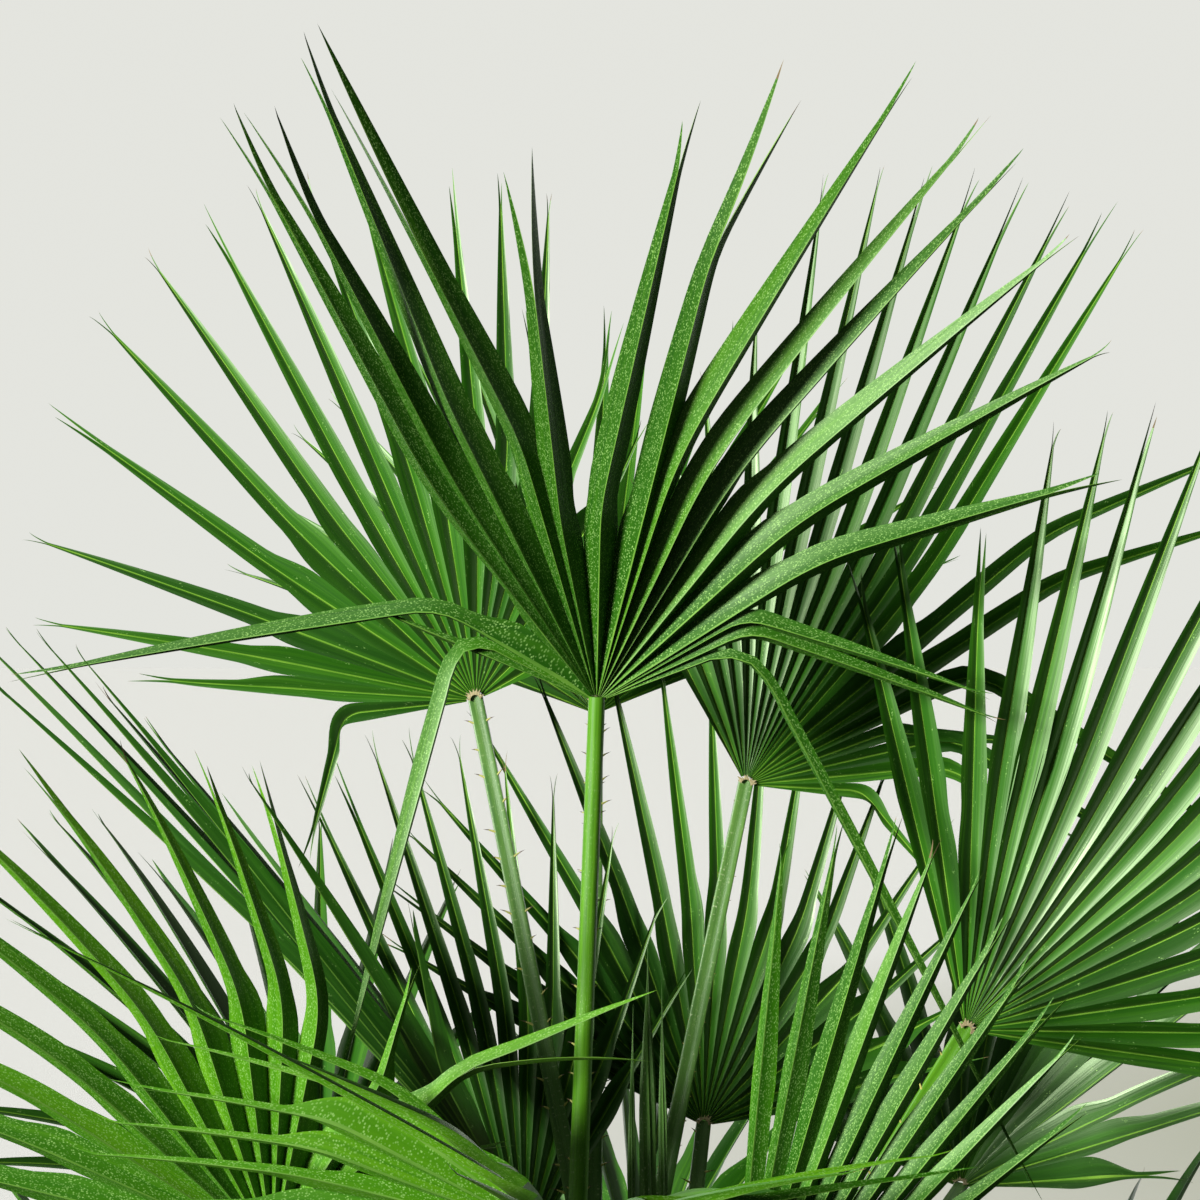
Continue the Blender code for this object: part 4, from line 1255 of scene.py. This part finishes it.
# %% Build the stalks
COLLAR_TEETH = 9
COLLAR_STEP = 19
COLLAR_LIFT = 0.0036
COLLAR_OUT = 0.0030
COLLAR_SLOT = 3
COLLAR_HEIGHTS = (0.7, 0.7)
BACK_SHARE = 0.92
ROUND_MAP = 0.006
BRIGHT_STALKS = ("fan_01", "fan_05", "fan_07")


def build_stalk(fan_name, spec, seed):
    """A stalk with its foot, its spines and the collar at its hub."""
    rays = base_rays(spec)
    middle = len(rays) // 2
    points, radii = stalk_line(spec)
    points, radii, at = evenly(points, radii, STALK_RINGS + 1)
    tangents, ups, sides = line_frames(points, upper_normal(spec, rays, middle))
    radii = radii * (1.0 + CLASP * np.exp(-at / CLASP_SPAN))
    shape, shape_faces, shape_slots = stalk_shape
    ring = np.rint(shape[:, 2] * STALK_RINGS).astype(int)
    verts = (points[ring] + sides[ring] * (shape[:, 0] * radii[ring])[:, None]
             + ups[ring] * (shape[:, 1] * radii[ring] * BACK_SHARE)[:, None])
    round_it = np.arctan2(shape[:, 0], -shape[:, 1]) * ROUND_MAP
    pile = new_pile()
    put(pile, verts, shape_faces, shape_slots, np.stack((round_it + 0.05 * seed, at[ring]), axis=1))
    length, gap = SPINES.get(fan_name, USUAL_SPINES)
    laid_spines(pile, points, tangents, ups, sides, radii, at, length, gap, seed)
    hub = np.array(spec["hub"])
    for n in range(COLLAR_TEETH):
        angle = math.radians(COLLAR_STEP * (n - COLLAR_TEETH // 2) + 8 * (chance(seed, n) - 0.5))
        out = unit(tangents[-1] * math.cos(angle) + sides[-1] * math.sin(angle))
        tall = COLLAR_LIFT * chosen(COLLAR_HEIGHTS, seed, n + 20)
        root = hub + ups[-1] * COLLAR_LIFT + out * COLLAR_OUT
        lay(pile, spine_shape, np.array((2.3, 1.0, 1.0)) * tall, turned_to(out, np.cross(ups[-1], out)), root,
            [COLLAR_SLOT] * len(spine_shape[1]))
    name = fan_name.replace("fan", "stalk")
    skin = stalk_bright if fan_name in BRIGHT_STALKS else stalk_grey
    return piece_from(pile, name + "_spiny", (skin, spine_foot, spine_point, collar_brown), name,
                      50.0)


stalks = [build_stalk(fan_name, spec, number + 1) for number, (fan_name, spec) in enumerate(FANS.items())]
print("faces in the stalks:", sum(len(made.data.polygons) for made in stalks))

# %% [markdown]
# ## The unopened leaf
# In the middle of a palm stands its next leaf, still folded like a closed fan: a slim ribbed spear with the
# points of its leaflets showing at different heights. It is drawn as a star, a circle with every second point
# pulled in, raised ring by ring with a slight turn and taper. Two thin points stand beside the main one.

# %% The unopened leaf
SPEAR_FOOT = (0.030, 0.010)
SPEAR_RINGS = 22
SPEAR_SIDES = 16
# Place beside the middle, drop of the tip, half width.
SPEAR_POINTS = ((0.0, 0.0, 0.0, 0.0062), (0.0085, -0.002, 0.020, 0.0034), (-0.0090, 0.001, 0.036, 0.0028))

spear_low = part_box("spear_leaf")[0].z - STALK_SUNK
spear_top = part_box("spear_leaf")[1].z
pattern = disc(SPEAR_SIDES, 1.0)
corner_turn = math.tau / SPEAR_SIDES
choose(pattern, "verts", lambda place, normal: round(math.atan2(place.y, place.x) / corner_turn) % 2 == 1)
bpy.ops.transform.resize(value=(0.68, 0.68, 1.0), center_override=(0.0, 0.0, 0.0))
bpy.ops.mesh.select_all(action="SELECT")
for ring in range(SPEAR_RINGS):
    pull_up(1.0 / SPEAR_RINGS)
    bpy.ops.transform.rotate(value=math.radians(5.0), orient_axis="Z", center_override=(0.0, 0.0, 0.0))
end_edit()
spear_verts, spear_faces, spear_slots = read_shape(pattern)
pile = new_pile()
for x, y, drop, wide in SPEAR_POINTS:
    up_share = spear_verts[:, 2]
    narrowing = wide * (1.0 - 0.15 * up_share - 0.83 * smooth((up_share - 0.72) / 0.28))
    lean = 1.0 + 0.15 * np.sin(3.0 * up_share)
    placed = np.stack((SPEAR_FOOT[0] + x * lean + spear_verts[:, 0] * narrowing,
                       SPEAR_FOOT[1] + y * lean + spear_verts[:, 1] * narrowing * 0.8,
                       spear_low + (spear_top - drop - spear_low) * up_share), axis=1)
    around = np.arctan2(spear_verts[:, 1], spear_verts[:, 0]) * ROUND_MAP
    put(pile, placed, spear_faces, spear_slots, np.stack((around + x, placed[:, 2]), axis=1))
piece_from(pile, "folded_spear", (stalk_grey,), "spear_leaf", 30.0)
print("spear from", round(spear_low, 3), "to", round(spear_top, 3))

# %% [markdown]
# ## Stem finishes
# The stems are wrapped in a mat of coarse brown fibre, out of which stand the cut feet of old stalks, grey
# brown on their backs with a pale dry end. Fibre is streaky, so its noise is stretched upright, and its relief
# is real: the mat has its own displaced surface and loose strands lie over it.


# %% Stem finishes
# Shade, light, how the streaks are stretched, roughness, depth of the relief.
STEM_LOOKS = {
    "fibre_mat": ((0.030, 0.017, 0.008), (0.200, 0.120, 0.060), (700.0, 700.0, 60.0), 0.92, 0.0012),
    "leaf_base_back": ((0.075, 0.052, 0.026), (0.270, 0.205, 0.115), (420.0, 420.0, 40.0), 0.78, 0.0008),
    "leaf_base_cut": ((0.190, 0.140, 0.080), (0.420, 0.340, 0.215), (900.0, 900.0, 900.0), 0.88, 0.0005),
    "fibre_strand": ((0.070, 0.038, 0.016), (0.300, 0.190, 0.095), (90.0, 90.0, 90.0), 0.80, 0.0002),
}
BASE_SLOT = 1
STRAND_SLOT = 3


def dry_finish(name, shade, light, stretch, roughness, depth):
    """A dry plant surface: streaky browns with matching relief."""
    material, tree, shader = finish(name, roughness, 0.25)
    place = node(tree, "ShaderNodeTexCoord", {}).outputs["Object"]
    streaks = noise(tree, stretched(tree, place, stretch), 1.0, 5.0, 0.65)
    patches = noise(tree, place, 26.0, 3.0, 0.5)
    both = product(tree, spread(tree, streaks, 0.28, 0.72), spread(tree, patches, 0.2, 0.6, 0.35, 1.0))
    tree.links.new(blend(tree, both, shade, light), shader.inputs["Base Color"])
    tree.links.new(relief(tree, streaks, 0.8, depth), shader.inputs["Normal"])
    return material


stem_finishes = [dry_finish(name, *look) for name, look in STEM_LOOKS.items()]
print("stem finishes:", len(stem_finishes))

# %% [markdown]
# ## The old leaf base
# When a leaf dies back, its foot stays on the stem: a short wedge, broad where it clasps and narrower at the
# cut, curving outwards. One is modelled from a cube by pulling its top up three times, each time narrower and
# further out, and pressing in the cut end. Rounded with a subdivision, it is then copied round the stems.

# %% One old leaf base
bpy.ops.mesh.primitive_cube_add(size=2.0, location=(0.0, 0.0, 0.5))
pattern = bpy.context.object
for material in stem_finishes[BASE_SLOT:STRAND_SLOT]:
    pattern.data.materials.append(material)
start_edit(pattern)
bpy.ops.mesh.select_all(action="SELECT")
bpy.ops.transform.resize(value=(1.0, 0.34, 0.5), center_override=(0.0, 0.0, 0.0))
for narrower, out in ((0.86, 0.10), (0.84, 0.22), (0.88, 0.30)):
    choose(pattern, "faces", lambda place, normal: normal.z > 0.9)
    bpy.ops.mesh.extrude_region_move(TRANSFORM_OT_translate={"value": (0.0, out, 1.0)})
    bpy.ops.transform.resize(value=(narrower, 0.92, 1.0))
choose(pattern, "faces", lambda place, normal: normal.z > 0.9)
bpy.ops.mesh.inset(thickness=0.07)
bpy.ops.transform.translate(value=(0.0, 0.0, -0.10))
bpy.context.object.active_material_index = 1
bpy.ops.object.material_slot_assign()
end_edit()
rounding = pattern.modifiers.new("rounding", "SUBSURF")
rounding.levels = 2
rounding.render_levels = 2
bpy.ops.object.modifier_apply(modifier=rounding.name)
base_shape = read_shape(pattern)
base_height = base_shape[0][:, 2].max()
print("leaf base:", len(base_shape[1]), "faces, cut ones", sum(base_shape[2]))

# %% [markdown]
# ## The stems
# Each stem is a drum of fibre raised ring by ring, a little wider in the middle, domed where the living stalks
# come out, and roughened by displacing it with a cloud pattern. Old leaf bases are laid round it by the golden
# angle, the way leaves grow, each standing out from the mat. Last come loose strands, thin three-sided
# threads that wander round the stem.

# %% Stem sizes
GOLDEN_ANGLE = math.radians(137.5)
STEM_BASES = {"main_stem": 26, "left_stem": 11, "right_stem": 11}
STEM_STRANDS = {"main_stem": 420, "left_stem": 170, "right_stem": 170}
STEM_RINGS = 16
STEM_SIDES = 56
STEM_SUNK = 0.004
STEM_FOOT_SHARE = 0.92
DOME_LIFTS = (0.30, 0.22, 0.16, 0.10, 0.05)
SOLID_WIDTH_SHARE = 2.12
BASE_SUNK_SHARE = 0.90
STRAND_RADIUS = 0.00034
STRAND_POINTS = 8
# The least, and how much a chance adds to it; leans and sweeps in degrees.
BASE_HEIGHTS = (0.030, 0.016)
BASE_HALF_WIDTHS = (0.0125, 0.0025)
BASE_LEANS = (14, 14)
STRAND_SWEEPS = (30, 70)
STRAND_RISES = (0.008, 0.045)
STRAND_THICKNESS = (0.7, 0.7)
print("old leaf bases:", STEM_BASES)


# %% A stem's drum and a strand
def stem_core(middle, low, high, radius):
    """The fibre drum of a stem."""
    made = disc(STEM_SIDES, radius * STEM_FOOT_SHARE, (*middle, low - STEM_SUNK))
    rise = (high - low) / STEM_RINGS
    centre = (*middle, 0.0)
    for ring in range(STEM_RINGS):
        swell = 1.012 if ring < STEM_RINGS / 2 else 0.990
        pull_up(rise)
        bpy.ops.transform.resize(value=(swell, swell, 1.0), center_override=centre)
    for lift in DOME_LIFTS:
        bpy.ops.mesh.inset(thickness=radius * 0.17)
        bpy.ops.transform.translate(value=(0.0, 0.0, lift * radius * 0.45))
    bpy.ops.mesh.poke()
    end_edit()
    roughen(made, 0.012, 3, 0.010, "NORMAL")
    return read_shape(made)


def strand(points, radius):
    """A three-sided thread along points, closed at both ends."""
    tangents = rows_unit(np.gradient(points, axis=0))
    across = rows_unit(np.cross(tangents, np.array((0.31, 0.17, 0.93))))
    other = np.cross(tangents, across)
    rings = [points + (across * math.cos(angle) + other * math.sin(angle)) * radius
             for angle in (0.0, math.tau / 3, math.tau * 2 / 3)]
    verts = np.stack(rings, axis=1).reshape(-1, 3)
    faces = [(0, 2, 1), (len(verts) - 3, len(verts) - 2, len(verts) - 1)]
    for k in range(len(points) - 1):
        for c in range(3):
            d = (c + 1) % 3
            faces.append((3 * k + c, 3 * k + d, 3 * k + 3 + d, 3 * k + 3 + c))
    return verts, faces


print("drum of", STEM_SIDES, "sides, strands of", STRAND_POINTS, "points")


# %% Build the stems
def build_stem(name, seed):
    """A stem's drum with its old leaf bases and its loose strands."""
    middle = STEM_FOOT[name]
    box_low, box_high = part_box(name)
    low, high = box_low.z, box_high.z
    radius = (box_high.x - box_low.x) / SOLID_WIDTH_SHARE
    pile = new_pile()
    put(pile, *stem_core(middle, low, high, radius))
    for n in range(STEM_BASES[name]):
        share = (n + 0.5) / STEM_BASES[name]
        angle = GOLDEN_ANGLE * n + seed
        tall = chosen(BASE_HEIGHTS, seed, n) * (0.8 + 0.35 * share)
        wide = chosen(BASE_HALF_WIDTHS, seed, n + 40)
        lean = math.radians(chosen(BASE_LEANS, seed, n + 80))
        turn = Matrix.Rotation(angle - math.pi / 2, 3, "Z") @ Matrix.Rotation(-lean, 3, "X")
        sunk = radius * BASE_SUNK_SHARE
        root = (middle[0] + sunk * math.cos(angle), middle[1] + sunk * math.sin(angle),
                low + 0.002 + (high - low - 0.018) * share)
        lay(pile, base_shape, np.array((wide, wide * 1.1, tall / base_height)), turn, root,
            [BASE_SLOT + s for s in base_shape[2]])
    for n in range(STEM_STRANDS[name]):
        begin = math.tau * chance(seed, n + 200)
        sweep = math.radians(chosen(STRAND_SWEEPS, seed, n + 700)) * (1 if n % 2 else -1)
        t = np.linspace(0.0, 1.0, STRAND_POINTS)
        angle = begin + sweep * t
        rise = (high - low + 0.004) * chance(seed, n + 1200) + chosen(STRAND_RISES, seed, n + 1700) * t
        out = radius * (1.0 + 0.05 * np.sin(math.pi * np.minimum(rise / (high - low), 1.0))) + 0.0010
        out = out + 0.0035 * chance(seed, n + 2200) * np.sin(math.pi * t * (1 + n % 3)) ** 2 + 0.004 * t ** 3
        out = out - np.maximum(0.0, rise - (high - low)) * 0.55
        points = np.stack((middle[0] + out * np.cos(angle), middle[1] + out * np.sin(angle),
                           low + np.minimum(rise, high - low + 0.022)), axis=1)
        verts, faces = strand(points, STRAND_RADIUS * chosen(STRAND_THICKNESS, seed, n + 2700))
        put(pile, verts, faces, [STRAND_SLOT] * len(faces))
    return piece_from(pile, name + "_fibrous", stem_finishes, name, 50.0)


for number, stem_name in enumerate(STEM_FOOT):
    made = build_stem(stem_name, 1.7 * (number + 1))
    print(made.name, len(made.data.polygons), "faces")

# %% [markdown]
# ## The soil
# Potting soil is dark and crumbly, with bits of bark and a few white grains of perlite. Its bed is a disc inset
# into many rings and displaced by clouds, sinking a little towards the wall. Crumbs are one lumpy ball, copied
# a few hundred times in different sizes over the bed, dark for earth, brown for bark and white for perlite.

# %% The soil
soil_low, soil_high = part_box("soil")
soil_radius = (soil_high.x - soil_low.x) / 2
SOIL_BED_DEPTH = 0.03
SOIL_SIDES = 96
SOIL_RINGS = 22
WALL_DIP = 0.0022
SOIL_LOOKS = {
    "earth_dark": ((0.010, 0.007, 0.005), (0.055, 0.036, 0.022), (160.0, 160.0, 160.0), 0.95, 0.0015),
    "bark_bits": ((0.060, 0.030, 0.014), (0.190, 0.105, 0.052), (500.0, 180.0, 500.0), 0.85, 0.0008),
    "perlite_grains": ((0.50, 0.48, 0.44), (0.74, 0.72, 0.68), (300.0, 300.0, 300.0), 0.90, 0.0006),
}

soil_finishes = [dry_finish(name, *look) for name, look in SOIL_LOOKS.items()]
bed = disc(SOIL_SIDES, soil_radius, (0.0, 0.0, soil_high.z - SOIL_BED_DEPTH))
bpy.ops.transform.resize(value=(0.955, 0.955, 1.0), center_override=(0.0, 0.0, 0.0))
pull_up(SOIL_BED_DEPTH - 0.005)
bpy.ops.transform.resize(value=(1.040, 1.040, 1.0), center_override=(0.0, 0.0, 0.0))
for ring in range(SOIL_RINGS):
    bpy.ops.mesh.inset(thickness=soil_radius / (SOIL_RINGS + 2))
    bpy.ops.transform.translate(value=(0.0, 0.0, WALL_DIP * math.exp(-ring / 4)))
bpy.ops.mesh.poke()
end_edit()
roughen(bed, 0.014, 4, 0.010, "Z")
bed_shape = read_shape(bed)
print("soil bed:", len(bed_shape[1]), "faces")

# %% One crumb and its copies
CRUMBS = 620
# Size of a crumb and how flat it is, for earth, bark and perlite.
CRUMB_KINDS = ((0.0022, (1.0, 0.9, 0.8)), (0.0045, (1.0, 0.6, 0.45)), (0.0018, (1.0, 0.9, 0.8)))
PERLITE_EVERY = 17
BARK_EVERY = 3
CRUMB_DEPTH = 0.0035
CLEAR_OF_STEM = 0.03
CLEAR_OF_WALL = 0.006

bpy.ops.mesh.primitive_ico_sphere_add(subdivisions=1, radius=1.0, location=(0.0, 0.0, 0.0))
pattern = bpy.context.object
start_edit(pattern)
choose(pattern, "verts", lambda place, normal: place.x > 0.4)
bpy.ops.transform.resize(value=(1.3, 0.8, 0.7), center_override=(0.0, 0.0, 0.0))
choose(pattern, "verts", lambda place, normal: place.y < -0.5)
bpy.ops.transform.translate(value=(0.2, 0.25, 0.15))
end_edit()
crumb_shape = read_shape(pattern)

pile = new_pile()
put(pile, *bed_shape)
for n in range(CRUMBS):
    reach = (soil_radius - CLEAR_OF_WALL) * math.sqrt(chance(3.1, n))
    angle = math.tau * chance(5.3, n)
    x, y = reach * math.cos(angle), reach * math.sin(angle)
    if any(math.hypot(x - m[0], y - m[1]) < CLEAR_OF_STEM for m in STEM_FOOT.values()):
        continue
    kind = 2 if n % PERLITE_EVERY == 0 else (1 if n % BARK_EVERY == 0 else 0)
    size, flat = CRUMB_KINDS[kind]
    turn = Euler([math.tau * chance(k + 9.0, n) for k in range(3)]).to_matrix()
    lay(pile, crumb_shape, np.array(flat) * size * (0.6 + chance(7.7, n)), turn,
        (x, y, soil_high.z - CRUMB_DEPTH), [kind] * len(crumb_shape[1]))
soil_piece = piece_from(pile, "potting_soil", soil_finishes, "soil", 30.0)
print("soil faces:", len(soil_piece.data.polygons))

# %% [markdown]
# ## The pot
# The pot is plain stoneware: a round tapering wall, a band under the lip, and a flat foot. It could be turned
# from a profile, but shaping it from a cylinder shows each feature as one step: widen the top, inset the wall,
# push the inside down, cut a line for the band and swell it. A bevel then softens every edge, as glaze does.

# %% Shape the pot
POT_HEIGHT = 0.300
POT_TOP_RADIUS = 0.180
POT_FOOT_RADIUS = 0.132
RIM_HEIGHT = 0.040
RIM_OUT = 0.006
WALL = 0.009
FLOOR_THICKNESS = 0.012
RIM_FROM = POT_HEIGHT - RIM_HEIGHT
POT_SIDES = 128
body_top = POT_TOP_RADIUS - RIM_OUT

bpy.ops.mesh.primitive_cylinder_add(vertices=POT_SIDES, radius=POT_FOOT_RADIUS, depth=POT_HEIGHT,
                                    end_fill_type="NGON", location=(0.0, 0.0, POT_HEIGHT / 2))
pot_piece = bpy.context.object
pot_piece.name = "stoneware_pot"
bpy.ops.object.transform_apply(location=True, rotation=True, scale=True)
start_edit(pot_piece)
choose(pot_piece, "faces", lambda place, normal: normal.z > 0.9)
widen = body_top / POT_FOOT_RADIUS
bpy.ops.transform.resize(value=(widen, widen, 1.0), center_override=(0.0, 0.0, POT_HEIGHT))
for share in (0.25, 0.5, 0.75, 1.0):
    bpy.ops.mesh.select_all(action="SELECT")
    bpy.ops.mesh.bisect(plane_co=(0.0, 0.0, RIM_FROM * share), plane_no=(0.0, 0.0, 1.0))
choose(pot_piece, "faces", lambda place, normal: place.z > RIM_FROM and abs(normal.z) < 0.5)
bpy.ops.mesh.extrude_region_shrink_fatten(TRANSFORM_OT_shrink_fatten={"value": RIM_OUT})
choose(pot_piece, "faces", lambda place, normal: normal.z > 0.9 and place.z > POT_HEIGHT - 0.003)
print("lip faces:", sum(f.select for f in bmesh.from_edit_mesh(pot_piece.data).faces))

# %% Hollow the pot
FOOT_RING = 0.014
FOOT_HOLLOW = 0.004

choose(pot_piece, "faces", lambda place, normal: normal.z > 0.9 and math.hypot(place.x, place.y) < 0.05)
bpy.ops.mesh.inset(thickness=WALL)
pull_up(FLOOR_THICKNESS - POT_HEIGHT)
narrow = (POT_FOOT_RADIUS - WALL) / (body_top - WALL)
bpy.ops.transform.resize(value=(narrow, narrow, 1.0), center_override=(0.0, 0.0, FLOOR_THICKNESS))
choose(pot_piece, "faces", lambda place, normal: normal.z < -0.9 and place.z < 0.001)
bpy.ops.mesh.inset(thickness=FOOT_RING)
pull_up(FOOT_HOLLOW)
end_edit()
softened = pot_piece.modifiers.new("softened", "BEVEL")
softened.width = 0.0022
softened.segments = 4
softened.limit_method = "ANGLE"
softened.angle_limit = math.radians(28)
bpy.context.view_layer.objects.active = pot_piece
bpy.ops.object.modifier_apply(modifier=softened.name)
print("pot faces:", len(pot_piece.data.polygons))

# %% [markdown]
# ## The pot's glaze
# A satin stone glaze is never one colour: it clouds a little, carries iron specks, and shows the faint rings
# of the wheel. Each is one small node chain on the object's own coordinates.

# %% The glaze
GLAZE_THIN, GLAZE_THICK = (0.33, 0.31, 0.27), (0.42, 0.40, 0.36)
IRON_SPECK = (0.16, 0.10, 0.06)

glaze, tree, shader = finish("stone_glaze", 0.42, 0.5)
place = node(tree, "ShaderNodeTexCoord", {}).outputs["Object"]
cloudy = noise(tree, place, 9.0, 4.0, 0.55)
specks = noise(tree, place, 420.0, 1.0, 0.5)
rings = noise(tree, stretched(tree, place, (2.0, 2.0, 260.0)), 1.0, 2.0, 0.5)
body_colour = blend(tree, spread(tree, cloudy, 0.3, 0.7), GLAZE_THIN, GLAZE_THICK)
body_colour = blend(tree, spread(tree, specks, 0.70, 0.76, 0.0, 0.75), body_colour, IRON_SPECK)
tree.links.new(body_colour, shader.inputs["Base Color"])
tree.links.new(spread(tree, cloudy, 0.3, 0.7, 0.36, 0.50), shader.inputs["Roughness"])
tree.links.new(relief(tree, rings, 0.35, 0.0006), shader.inputs["Normal"])
pot_piece.data.materials.append(glaze)
dress(pot_piece, "pot", 40.0)
print("pot dressed")
